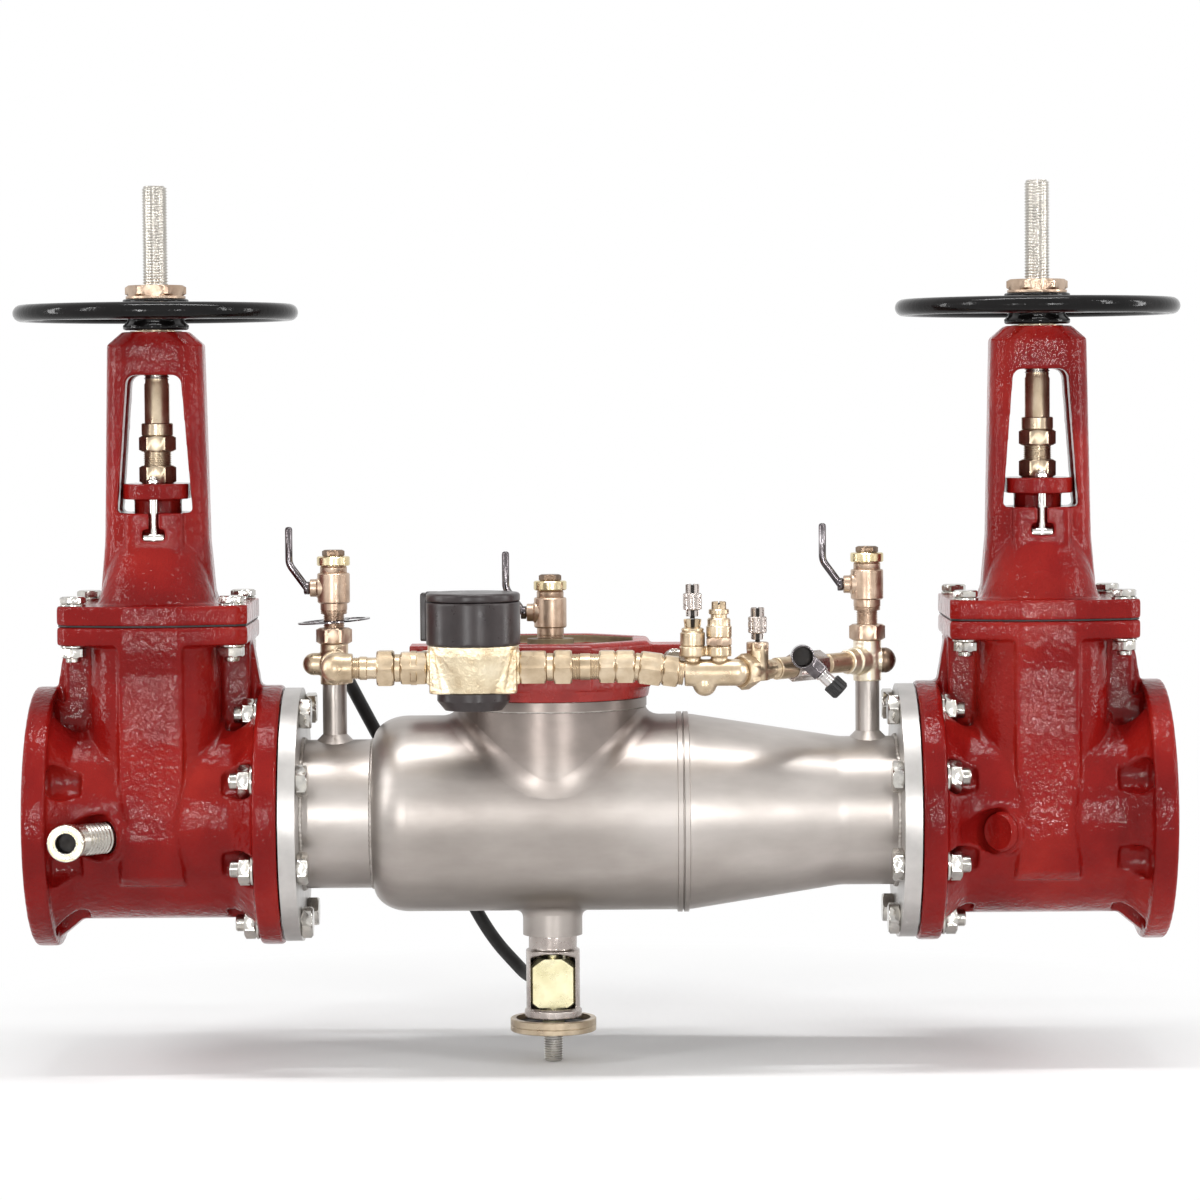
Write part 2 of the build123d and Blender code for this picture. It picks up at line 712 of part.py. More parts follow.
def bonnet():
    """Bonnet with its yoke, stuffing box and gland bolt pockets, stem axis at x = 0."""
    deck = extrude(Pos(0, 0, BONNET_BASE_Z) * joint_face(), BONNET_DECK_Z - BONNET_BASE_Z)
    shell = deck + dome() + yoke_shell()
    shell -= yoke_window() + leg_grooves()
    box_top = rounded(2 * BOX_HALF_X, 2 * BOX_HALF_Y, 8, SLOT_Z - 20)
    shell += extrude(box_top, WINDOW_BOTTOM_Z - SLOT_Z + 20)
    shell -= dome(BONNET_WALL)
    shell -= bar_z(0, 0, SLOT_Z - 20, YOKE_TOP_Z, STEM_RADIUS + STEM_GAP)
    shell -= bar_z(0, 0, WINDOW_BOTTOM_Z - STUFFING_DEPTH, WINDOW_BOTTOM_Z, STUFFING_RADIUS)
    shell -= bar_z(0, 0, NUT_POCKET_Z, YOKE_TOP_Z, NUT_COLLAR_RADIUS + RUN_GAP)
    for side in (-1, 1):
        outer = side * BOX_HALF_Y
        inner = side * (BOX_HALF_Y - SLOT_DEPTH)
        near, far = min(outer, inner), max(outer, inner)
        shell -= block((-SLOT_HALF_X, near, SLOT_Z), (SLOT_HALF_X, far, SLOT_Z + SLOT_HEIGHT))
        slot = GLAND_BOLT_RADIUS + STEM_GAP
        shell -= block((-slot, near, SLOT_Z), (slot, far, WINDOW_BOTTOM_Z))
    for x, y in joint_bolt_places():
        shell -= bar_z(x, y, BONNET_BASE_Z, BONNET_DECK_Z, JOINT_BOLT_RADIUS + RUN_GAP)
    return shell


def gland_flange():
    """Oval gland follower that presses the packing."""
    plate = extrude(Pos(0, 0, GLAND_BOTTOM_Z) * Ellipse(GLAND_HALF_Y, GLAND_HALF_Y * 0.72), GLAND_THICKNESS)
    plate = Rot(0, 0, 90) * plate
    plate &= block((-GLAND_HALF_X, -GLAND_HALF_Y, GLAND_BOTTOM_Z), (GLAND_HALF_X, GLAND_HALF_Y, GLAND_TOP_Z))
    neck = bar_z(0, 0, WINDOW_BOTTOM_Z - STUFFING_DEPTH, GLAND_BOTTOM_Z, GLAND_NECK_RADIUS)
    gland = plate + neck
    gland -= bar_z(0, 0, WINDOW_BOTTOM_Z - STUFFING_DEPTH, GLAND_TOP_Z, STEM_RADIUS + STEM_GAP)
    for side in (-1, 1):
        gland -= bar_z(0, side * GLAND_BOLT_Y, GLAND_BOTTOM_Z, GLAND_TOP_Z, GLAND_BOLT_RADIUS + STEM_GAP)
    return gland


def gland_bolt(side):
    """Tee-headed gland bolt with its nut."""
    y = side * GLAND_BOLT_Y
    head_half = SLOT_HALF_X - 1
    head = block(
        (-head_half, y - GLAND_BOLT_RADIUS - 1, SLOT_Z),
        (head_half, y + GLAND_BOLT_RADIUS + 1, SLOT_Z + SLOT_HEIGHT / 2),
    )
    shank = bar_z(0, y, SLOT_Z, GLAND_TOP_Z + GLAND_NUT_HEIGHT + 3, GLAND_BOLT_RADIUS)
    nut = hex_z(0, y, GLAND_TOP_Z, GLAND_TOP_Z + GLAND_NUT_HEIGHT, GLAND_NUT_FLATS)
    return [head + shank, nut - bar_z(0, y, GLAND_TOP_Z, GLAND_TOP_Z + GLAND_NUT_HEIGHT, GLAND_BOLT_RADIUS)]


def packing_nuts():
    """Brass packing bush, its locking thread and the nut with its round collar."""
    hex_top = GLAND_TOP_Z + PACKING_HEX_HEIGHT
    nut_bottom = hex_top + PACKING_THREAD_HEIGHT
    nut_top = nut_bottom + PACKING_NUT_HEIGHT
    bush = hex_z(0, 0, GLAND_TOP_Z, hex_top, PACKING_HEX_FLATS)
    bush += bar_z(0, 0, hex_top, nut_bottom, PACKING_THREAD_RADIUS)
    nut = hex_z(0, 0, nut_bottom, nut_top, PACKING_HEX_FLATS)
    nut += bar_z(0, 0, nut_top, nut_top + PACKING_COLLAR_HEIGHT, PACKING_COLLAR_RADIUS)
    bore = bar_z(0, 0, GLAND_TOP_Z, nut_top + PACKING_COLLAR_HEIGHT, STEM_RADIUS + STEM_GAP)
    return [bush - bore, nut - bore]


def yoke_nut():
    """Threaded bronze sleeve that the handwheel turns on the stem."""
    bottom = NUT_POCKET_Z + RUN_GAP
    top = WHEEL_HUB_BOTTOM_Z + WHEEL_HUB_HEIGHT + WHEEL_WASHER_THICKNESS + WHEEL_NUT_HEIGHT - NUT_SLEEVE_END
    sleeve = bar_z(0, 0, bottom, top, NUT_SLEEVE_RADIUS)
    sleeve += bar_z(0, 0, bottom, bottom + NUT_COLLAR_HEIGHT, NUT_COLLAR_RADIUS)
    return sleeve - bar_z(0, 0, bottom, top, STEM_RADIUS + PIN_GAP)


def yoke_cap():
    """Ring screwed into the yoke above the collar of the yoke nut."""
    bottom = NUT_POCKET_Z + NUT_COLLAR_HEIGHT + 2 * RUN_GAP
    ring = bar_z(0, 0, bottom, YOKE_TOP_Z + YOKE_CAP_LIP, NUT_COLLAR_RADIUS + RUN_GAP)
    return ring - bar_z(0, 0, bottom, YOKE_TOP_Z + YOKE_CAP_LIP, NUT_SLEEVE_RADIUS + RUN_GAP)


def handwheel():
    """Five-spoke handwheel with a round rim."""
    top = WHEEL_HUB_BOTTOM_Z + WHEEL_HUB_HEIGHT
    rim_middle = WHEEL_RADIUS - WHEEL_TUBE_RADIUS
    hub = turned_z(outline([
        (NUT_SLEEVE_RADIUS, WHEEL_HUB_BOTTOM_Z),
        (WHEEL_HUB_RADIUS, WHEEL_HUB_BOTTOM_Z),
        (WHEEL_HUB_RADIUS, WHEEL_HUB_BOTTOM_Z + 5),
        (WHEEL_HUB_WAIST, WHEEL_HUB_BOTTOM_Z + 10),
        (WHEEL_HUB_WAIST, top - 9),
        (WHEEL_HUB_RADIUS, top - 4),
        (WHEEL_HUB_RADIUS, top),
        (NUT_SLEEVE_RADIUS, top),
    ]))
    rim = Pos(0, 0, WHEEL_Z) * Torus(rim_middle, WHEEL_TUBE_RADIUS)
    wheel = hub + rim
    inner = Plane(origin=(WHEEL_HUB_WAIST - 4, 0, WHEEL_Z), x_dir=(0, 1, 0), z_dir=(1, 0, 0))
    outer = Plane(origin=(rim_middle, 0, WHEEL_Z), x_dir=(0, 1, 0), z_dir=(1, 0, 0))
    spoke = loft([
        inner * Ellipse(SPOKE_WIDTH / 2, SPOKE_HEIGHT / 2),
        outer * Ellipse(SPOKE_WIDTH * 0.34, SPOKE_HEIGHT * 0.44),
    ])
    for i in range(WHEEL_SPOKES):
        wheel += Rot(0, 0, 90 + 360 / WHEEL_SPOKES * i) * spoke
    return wheel - bar_z(0, 0, WHEEL_HUB_BOTTOM_Z, top, NUT_SLEEVE_RADIUS)


def wheel_nut():
    """Brass nut and washer that hold the wheel down."""
    bottom = WHEEL_HUB_BOTTOM_Z + WHEEL_HUB_HEIGHT
    top = bottom + WHEEL_WASHER_THICKNESS + WHEEL_NUT_HEIGHT
    nut = bar_z(0, 0, bottom, bottom + WHEEL_WASHER_THICKNESS, WHEEL_WASHER_RADIUS)
    nut += hex_z(0, 0, bottom + WHEEL_WASHER_THICKNESS, top, WHEEL_NUT_FLATS)
    return nut - bar_z(0, 0, bottom, top, NUT_SLEEVE_RADIUS)


def joint_gasket():
    """Gasket between valve body and bonnet."""
    inset = 1.5
    sheet = extrude(Pos(0, 0, BODY_DECK_Z) * joint_face(inset), JOINT_GASKET)
    opening = rounded(2 * CAVITY_HALF_X, 2 * (GUIDE_REACH + GUIDE_GAP), CAVITY_CORNER, BODY_DECK_Z)
    sheet -= extrude(opening, JOINT_GASKET)
    for x, y in joint_bolt_places():
        sheet -= bar_z(x, y, BODY_DECK_Z, BONNET_BASE_Z, JOINT_BOLT_RADIUS + RUN_GAP)
    return sheet


def joint_bolt(x, y):
    """Hexagon bolt and nut of the bonnet joint."""
    nut_bottom = BODY_DECK_UNDER_Z - JOINT_NUT_HEIGHT
    bolt = bar_z(x, y, nut_bottom - 5, BONNET_DECK_Z, JOINT_BOLT_RADIUS)
    bolt += hex_z(x, y, BONNET_DECK_Z, BONNET_DECK_Z + JOINT_HEAD_HEIGHT, JOINT_NUT_FLATS, 15)
    nut = hex_z(x, y, nut_bottom, BODY_DECK_UNDER_Z, JOINT_NUT_FLATS, 20)
    return [bolt, nut - bar_z(x, y, nut_bottom, BODY_DECK_UNDER_Z, JOINT_BOLT_RADIUS)]


def make_valves():
    """All pieces of both gate valves."""
    shared = {"gland_flanges": [], "packing_nuts": [], "yoke_caps": [], "gland_bolts": [], "bonnet_bolts": []}
    shared["gaskets"] = []
    pieces = {
        "bonnet": bonnet(),
        "stem": stem(),
        "wedge": Pos(0, 0, WEDGE_LIFT) * wedge(),
        "yoke_nut": yoke_nut(),
        "handwheel": handwheel(),
        "wheel_nut": wheel_nut(),
    }
    for name, x in STEM_X.items():
        place = Pos(x, 0, 0)
        nodes[name + "_valve_body"] = place * valve_body(1 if name == "inlet" else -1)
        for piece, shape in pieces.items():
            nodes[name + "_" + piece] = place * shape
        shared["gland_flanges"].append(place * gland_flange())
        shared["packing_nuts"] += [place * piece for piece in packing_nuts()]
        shared["yoke_caps"].append(place * yoke_cap())
        shared["gland_bolts"] += [place * piece for side in (-1, 1) for piece in gland_bolt(side)]
        shared["bonnet_bolts"] += [place * piece for x, y in joint_bolt_places() for piece in joint_bolt(x, y)]
        shared["gaskets"].append(place * joint_gasket())
    nodes.update(shared)


# Flange bolts and gaskets between the valves and the body

def flange_bolt(joint_x, side, y, z):
    """Bolt with its head on the stainless flange and its nut on the valve flange."""
    head_seat = joint_x + side * (FLANGE_GASKET + BODY_FLANGE_THICKNESS)
    nut_seat = joint_x - side * FLANGE_THICKNESS
    nut_end = nut_seat - side * FLANGE_NUT_HEIGHT
    bolt = rod((head_seat, y, z), (nut_end - side * BOLT_END, y, z), FLANGE_BOLT_RADIUS)
    bolt += hex_bar((head_seat, y, z), (head_seat + side * FLANGE_HEAD_HEIGHT, y, z), FLANGE_NUT_FLATS, (0, y, z))
    nut = hex_bar((nut_seat, y, z), (nut_end, y, z), FLANGE_NUT_FLATS, (0, 1, 0.4))
    return [bolt, nut - rod((nut_seat, y, z), (nut_end, y, z), FLANGE_BOLT_RADIUS)]


def flange_gasket(joint_x, side):
    """Ring gasket inside the bolt circle."""
    radius = BOLT_CIRCLE_RADIUS - INNER_HOLE_RADIUS
    ends = (joint_x, 0, 0), (joint_x + side * FLANGE_GASKET, 0, 0)
    return rod(*ends, radius) - rod(*ends, WATERWAY_RADIUS)


def make_flange_joints():
    """Bolts and gaskets of both joints between valve and body."""
    bolts = []
    for joint_x, side in ((VALVE_LENGTH, 1), (TOTAL_LENGTH - VALVE_LENGTH, -1)):
        for y, z in bolt_places(BOLT_CIRCLE_RADIUS):
            bolts += flange_bolt(joint_x, side, y, z)
        nodes["gaskets"].append(flange_gasket(joint_x, side))
    nodes["flange_bolts"] = bolts


# Stainless body

def shell_face(inset):
    """Half section of the vessel between its two pipes as (x from the middle, radius)."""
    pipe = PIPE_RADIUS - (PIPE_WALL if inset else 0)
    shell = SHELL_RADIUS - (SHELL_WALL if inset else 0)
    head_end = HEAD_START + HEAD_LENGTH
    head = EllipticalCenterArc((head_end, pipe), HEAD_LENGTH, shell - pipe, start_angle=90, arc_size=90)
    rest = Polyline(
        (head_end, shell),
        (BEAD_START, shell),
        (BEAD_START, 0),
        (HEAD_START, 0),
        (HEAD_START, pipe),
    )
    return make_face(Curve() + [head, rest])


def reducer_face(inset):
    """Half section of the reducer and outlet pipe as (x from the middle, radius)."""
    pipe = PIPE_RADIUS - (PIPE_WALL if inset else 0)
    shell = SHELL_RADIUS - (SHELL_WALL if inset else 0)
    end = BODY_LENGTH / 2
    cone = FilletPolyline(
        (BEAD_START, shell),
        (BEAD_START + BEAD_LENGTH, shell),
        (REDUCER_END, pipe),
        (end, pipe),
        radius=REDUCER_BLEND,
    )
    rest = Polyline((end, pipe), (end, 0), (BEAD_START, 0), (BEAD_START, shell))
    return make_face(Curve() + [cone, rest])


def riser(x):
    """Welded riser pipe with its flared foot."""
    foot = RISER_RADIUS + RISER_FLARE
    base_z = sqrt(PIPE_RADIUS**2 - foot**2)
    face = outline([
        (0, base_z - 12),
        (foot, base_z - 12),
        (foot, base_z + 0.5),
        (RISER_RADIUS, base_z + RISER_FLARE + 0.5),
        (RISER_RADIUS, BRANCH_Z - CROSS_REACH),
        (0, BRANCH_Z - CROSS_REACH),
    ])
    return Pos(MID_X + x, 0, 0) * turned_z(face)


def body_flange(side):
    """Flange plate of the body with its bolt holes; side is -1 at the inlet and 1 at the outlet."""
    face_x = MID_X + side * BODY_LENGTH / 2
    back_x = face_x - side * BODY_FLANGE_THICKNESS
    plate = rod((face_x, 0, 0), (back_x, 0, 0), BODY_FLANGE_RADIUS)
    for y, z in bolt_places(BOLT_CIRCLE_RADIUS):
        plate -= rod((face_x, y, z), (back_x, y, z), INNER_HOLE_RADIUS)
    return plate


def body_inlet_pipe():
    """Inlet flange and pipe of the body, with the inlet riser."""
    start, end = MID_X - BODY_LENGTH / 2, MID_X + HEAD_START
    pipe = body_flange(-1) + rod((start, 0, 0), (end, 0, 0), PIPE_RADIUS) + riser(RISER_IN_X)
    return pipe - rod((start, 0, 0), (end, 0, 0), PIPE_RADIUS - PIPE_WALL)


def body_shell():
    """Vessel of the body, from its rounded head to the reducer, with top port and drain neck."""
    middle = Pos(MID_X, 0, 0)
    port_x = MID_X + PORT_X
    ring_top = PORT_TOP_Z + RING_HEIGHT
    shell = middle * turned_x(shell_face(False))
    shell += bar_z(port_x, 0, 0, PORT_TOP_Z, PORT_RADIUS)
    shell += bar_z(port_x, 0, PORT_TOP_Z, ring_top, RING_RADIUS)
    shell += bar_z(port_x, 0, DRAIN_NECK_BOTTOM_Z, 0, DRAIN_NECK_RADIUS)
    shell -= middle * turned_x(shell_face(True))
    shell -= bar_z(port_x, 0, 0, ring_top, PORT_RADIUS - PORT_WALL)
    return shell - bar_z(port_x, 0, DRAIN_NECK_BOTTOM_Z, 0, DRAIN_BORE_RADIUS)


def body_reducer():
    """Reducer with its double bead, outlet pipe, outlet riser and outlet flange."""
    middle = Pos(MID_X, 0, 0)
    cone = middle * turned_x(reducer_face(False)) + body_flange(1) + riser(RISER_OUT_X)
    ridge = BEAD_LENGTH / 4
    for ridge_x in (BEAD_START + ridge, BEAD_START + BEAD_LENGTH - ridge):
        bead = outline([
            (ridge_x - ridge, SHELL_RADIUS - 1),
            (ridge_x - ridge + 1, SHELL_RADIUS + BEAD_HEIGHT),
            (ridge_x + ridge - 1, SHELL_RADIUS + BEAD_HEIGHT),
            (ridge_x + ridge, SHELL_RADIUS - 1),
        ])
        cone += middle * turned_x(bead)
    return cone - middle * turned_x(reducer_face(True))


# Cover, coupling and bolts

def cover_plate():
    """Round cover that closes the top port, with a boss for the middle test cock."""
    bottom = PORT_TOP_Z + RING_HEIGHT + COVER_GASKET
    plate = bar_z(0, 0, bottom, bottom + COVER_RIM_THICKNESS, COVER_RIM_RADIUS)
    plate += bar_z(0, 0, bottom, COVER_PLATE_TOP_Z, COVER_CROWN_RADIUS)
    plate += bar_z(0, 0, COVER_PLATE_TOP_Z, COVER_BOSS_TOP_Z, COVER_BOSS_RADIUS)
    return plate


def cover_gasket():
    """Ring gasket under the cover."""
    bottom = PORT_TOP_Z + RING_HEIGHT
    ring = bar_z(0, 0, bottom, bottom + COVER_GASKET, COVER_RIM_RADIUS)
    return ring - bar_z(0, 0, bottom, bottom + COVER_GASKET, PORT_RADIUS - PORT_WALL)


def octagon(flats, z):
    """Level octagon with flats facing front and sides."""
    return Pos(0, 0, z) * Rot(0, 0, 22.5) * RegularPolygon(flats / 2, 8, major_radius=False)


def coupling_half(side):
    """Front or back half of the coupling, with its bolt lugs."""
    skirt_top = COUPLING_BOTTOM_Z + COUPLING_SKIRT_HEIGHT
    skirt = Pos(0, 0, COUPLING_BOTTOM_Z) * Cone(
        COUPLING_SKIRT_RADIUS, COUPLING_FLATS / 2, COUPLING_SKIRT_HEIGHT, align=BOTTOM
    )
    upper = extrude(octagon(COUPLING_FLATS, skirt_top), COUPLING_TOP_Z - skirt_top)
    rim_top = upper.faces().sort_by(Axis.Z)[-1]
    upper = chamfer(rim_top.edges(), COUPLING_CHAMFER)
    lugs = block((-LUG_END, -LUG_HALF_Y, LUG_BOTTOM_Z), (LUG_END, LUG_HALF_Y, LUG_BOTTOM_Z + LUG_HEIGHT))
    ring = skirt + upper + lugs
    clear = COVER_RIM_RADIUS + COUPLING_GAP
    rim_z = PORT_TOP_Z + RING_HEIGHT + COVER_GASKET + COVER_RIM_THICKNESS + COUPLING_GAP
    ring -= bar_z(0, 0, COUPLING_BOTTOM_Z, rim_z, clear)
    ring -= bar_z(0, 0, rim_z, COVER_PLATE_TOP_Z, COVER_CROWN_RADIUS + COUPLING_GAP)
    ring -= extrude(octagon(COUPLING_RECESS_FLATS, COVER_PLATE_TOP_Z), COUPLING_TOP_Z)
    for x in (-LUG_BOLT_X, LUG_BOLT_X):
        middle_z = LUG_BOTTOM_Z + LUG_HEIGHT / 2
        ring -= rod((x, -LUG_HALF_Y, middle_z), (x, LUG_HALF_Y, middle_z), LUG_BOLT_RADIUS + RUN_GAP)
    keep_low = (-LUG_END, COUPLING_SPLIT / 2, COUPLING_BOTTOM_Z)
    keep_high = (LUG_END, LUG_END, COUPLING_TOP_Z)
    half = ring & block(keep_low, keep_high)
    return half if side > 0 else Rot(0, 0, 180) * half


def coupling_bolt(x):
    """Bolt through a pair of lugs, head at the front, nut at the back."""
    z = LUG_BOTTOM_Z + LUG_HEIGHT / 2
    front, back = -LUG_HALF_Y, LUG_HALF_Y
    bolt = rod((x, front, z), (x, back + LUG_NUT_HEIGHT + 4, z), LUG_BOLT_RADIUS)
    bolt += hex_bar((x, front - LUG_NUT_HEIGHT, z), (x, front, z), LUG_NUT_FLATS, (1, 0, 0))
    nut = hex_bar((x, back, z), (x, back + LUG_NUT_HEIGHT, z), LUG_NUT_FLATS, (1, 0, 0))
    return [bolt, nut - rod((x, back, z), (x, back + LUG_NUT_HEIGHT, z), LUG_BOLT_RADIUS)]


def make_body():
    """Body shell, cover, coupling and their bolts."""
    place = Pos(MID_X + PORT_X, 0, 0)
    nodes["body_inlet_pipe"] = body_inlet_pipe()
    nodes["body_shell"] = body_shell()
    nodes["body_reducer"] = body_reducer()
    nodes["cover_plate"] = place * cover_plate()
    nodes["cover_coupling"] = [place * coupling_half(side) for side in (-1, 1)]
    nodes["coupling_bolts"] = [place * piece for x in (-LUG_BOLT_X, LUG_BOLT_X) for piece in coupling_bolt(x)]
    nodes["gaskets"].append(place * cover_gasket())


# Swing checks

def check_seat():
    """Seat plate with its bore, lip, hinge ears and pin; its inlet face is at x = 0."""
    radius = SHELL_RADIUS - SHELL_WALL - CHECK_FIT
    lip_end = CHECK_PLATE + CHECK_LIP
    pin_x = lip_end + HINGE_OFFSET
    seat = rod((0, 0, 0), (CHECK_PLATE, 0, 0), radius)
    seat += rod((0, 0, 0), (lip_end, 0, 0), CHECK_BORE + CHECK_LIP_WIDTH)
    for side in (-1, 1):
        inner = side * (HINGE_PIN_HALF - HINGE_EAR)
        outer = side * HINGE_PIN_HALF
        near, far = min(inner, outer), max(inner, outer)
        seat += block(
            (0, near, HINGE_Z - HINGE_EYE_RADIUS),
            (pin_x + HINGE_EYE_RADIUS, far, HINGE_Z + HINGE_EYE_RADIUS),
        )
    seat += rod((pin_x, -HINGE_PIN_HALF, HINGE_Z), (pin_x, HINGE_PIN_HALF, HINGE_Z), HINGE_PIN_RADIUS)
    return seat - rod((0, 0, 0), (lip_end, 0, 0), CHECK_BORE)


def clapper():
    """Swinging disc with its arm and hinge eye, in the frame of its seat."""
    face_x = CHECK_PLATE + CHECK_LIP + CLAPPER_LIFT_GAP
    back_x = face_x + CLAPPER_THICKNESS
    pin_x = CHECK_PLATE + CHECK_LIP + HINGE_OFFSET
    disc = rod((face_x, 0, 0), (back_x, 0, 0), CLAPPER_RADIUS)
    disc += rod((back_x, 0, 0), (back_x + 8, 0, 0), WEDGE_BOSS_RADIUS)
    arm = block((face_x + 1, -HINGE_EYE_HALF, 0), (pin_x, HINGE_EYE_HALF, HINGE_Z))
    eye = rod((pin_x, -HINGE_EYE_HALF, HINGE_Z), (pin_x, HINGE_EYE_HALF, HINGE_Z), HINGE_EYE_RADIUS)
    swing = disc + arm + eye
    pin = rod((pin_x, -HINGE_PIN_HALF, HINGE_Z), (pin_x, HINGE_PIN_HALF, HINGE_Z), HINGE_PIN_RADIUS + PIN_GAP)
    return swing - pin


def hinge_spring(side):
    """Coil of the closing spring on the hinge pin, drawn as its outside."""
    pin_x = CHECK_PLATE + CHECK_LIP + HINGE_OFFSET
    start = side * (HINGE_EYE_HALF + 1)
    end = start + side * SPRING_LENGTH
    coil = rod((pin_x, start, HINGE_Z), (pin_x, end, HINGE_Z), SPRING_RADIUS)
    return coil - rod((pin_x, start, HINGE_Z), (pin_x, end, HINGE_Z), HINGE_PIN_RADIUS + PIN_GAP)


def make_checks():
    """Both swing checks."""
    seats = []
    springs = []
    for number, seat_x in enumerate(CHECK_SEAT_X, start=1):
        place = Pos(MID_X + seat_x, 0, 0)
        seats.append(place * check_seat())
        springs += [place * hinge_spring(side) for side in (-1, 1)]
        nodes[f"check_{number}_clapper"] = place * clapper()
    nodes["check_seats"] = seats
    nodes["check_springs"] = springs


# Relief valve

def relief_window():
    """Discharge window in the front of the relief body, arched at its top."""
    half = RELIEF_WINDOW_HALF
    shoulder = RELIEF_WINDOW_TOP_Z - RELIEF_WINDOW_ARCH
    sides = Polyline(
        (half, shoulder),
        (half, RELIEF_WINDOW_BOTTOM_Z),
        (-half, RELIEF_WINDOW_BOTTOM_Z),
        (-half, shoulder),
    )
    arch = ThreePointArc((-half, shoulder), (0, RELIEF_WINDOW_TOP_Z), (half, shoulder))
    return extrude(Plane.XZ * make_face(Curve() + [sides, arch]), RELIEF_RADIUS * 2)


def relief_body():
    """Relief valve body with its discharge window; its back carries the hose port."""
    neck_bottom = DRAIN_NECK_BOTTOM_Z - RELIEF_NECK_HEIGHT
    collar_top = RELIEF_BOTTOM_Z + RELIEF_COLLAR_HEIGHT
    body = bar_z(0, 0, neck_bottom, DRAIN_NECK_BOTTOM_Z, RELIEF_NECK_RADIUS)
    body += bar_z(0, 0, RELIEF_BOTTOM_Z, neck_bottom, RELIEF_RADIUS)
    body += bar_z(0, 0, RELIEF_BOTTOM_Z, collar_top, RELIEF_COLLAR_RADIUS)
    shoulder = RELIEF_WINDOW_TOP_Z - RELIEF_WINDOW_ARCH / 2
    body -= bar_z(0, 0, RELIEF_BOTTOM_Z, shoulder, RELIEF_BORE_RADIUS)
    body -= bar_z(0, 0, shoulder, DRAIN_NECK_BOTTOM_Z, RELIEF_SEAT_RADIUS)
    return body - relief_window()


def relief_poppet():
    """Sliding poppet with milled flats, a stem above and a foot below."""
    face = outline([
        (0, POPPET_BOTTOM_Z),
        (POPPET_RADIUS - POPPET_FOOT_CHAMFER, POPPET_BOTTOM_Z),
        (POPPET_RADIUS, POPPET_BOTTOM_Z + POPPET_FOOT_CHAMFER),
        (POPPET_RADIUS, POPPET_TOP_Z - POPPET_CHAMFER),
        (POPPET_RADIUS - POPPET_CHAMFER, POPPET_TOP_Z),
        (0, POPPET_TOP_Z),
    ])
    poppet = turned_z(face)
    poppet &= block(
        (-POPPET_RADIUS, -POPPET_FLAT, POPPET_BOTTOM_Z),
        (POPPET_RADIUS, POPPET_FLAT, POPPET_TOP_Z),
    )
    poppet += bar_z(0, 0, POPPET_TOP_Z, POPPET_TOP_Z + POPPET_STEM_LENGTH, POPPET_STEM_RADIUS)
    foot_bottom = CUP_TOP_Z - CUP_HEIGHT + CUP_FLOOR + DIAPHRAGM_THICKNESS + RUN_GAP
    return poppet + bar_z(0, 0, foot_bottom, POPPET_BOTTOM_Z, POPPET_STEM_RADIUS * 2)


def relief_spring():
    """Opening spring coiled between the poppet and the drain neck."""
    bottom = POPPET_TOP_Z + RELIEF_SPRING_WIRE
    height = DRAIN_NECK_BOTTOM_Z - RELIEF_SPRING_WIRE - bottom
    path = Helix(height / RELIEF_SPRING_TURNS, height, RELIEF_SPRING_RADIUS, center=(0, 0, bottom))
    section = Plane(origin=path @ 0, z_dir=path % 0) * Circle(RELIEF_SPRING_WIRE)
    return sweep(section, path)


def relief_cup():
    """Bronze cup that holds the diaphragm, with its threaded stud."""
    bottom = CUP_TOP_Z - CUP_HEIGHT
    cup = bar_z(0, 0, bottom, CUP_TOP_Z, CUP_RADIUS)
    cup -= bar_z(0, 0, bottom + CUP_FLOOR, CUP_TOP_Z, DIAPHRAGM_RADIUS + RUN_GAP)
    return cup + bar_z(0, 0, CUP_STUD_BOTTOM_Z, bottom, CUP_STUD_RADIUS)


def diaphragm():
    """Rubber diaphragm on the floor of the cup."""
    bottom = CUP_TOP_Z - CUP_HEIGHT + CUP_FLOOR
    return bar_z(0, 0, bottom, bottom + DIAPHRAGM_THICKNESS, DIAPHRAGM_RADIUS)


def make_relief():
    """Relief valve on the drain neck."""
    place = Pos(MID_X + PORT_X, 0, 0)
    nodes["relief_body"] = place * relief_body()
    nodes["relief_poppet"] = place * relief_poppet()
    nodes["relief_spring"] = place * relief_spring()
    nodes["relief_diaphragm"] = place * diaphragm()
    nodes["relief_cup"] = place * relief_cup()


# Test cocks

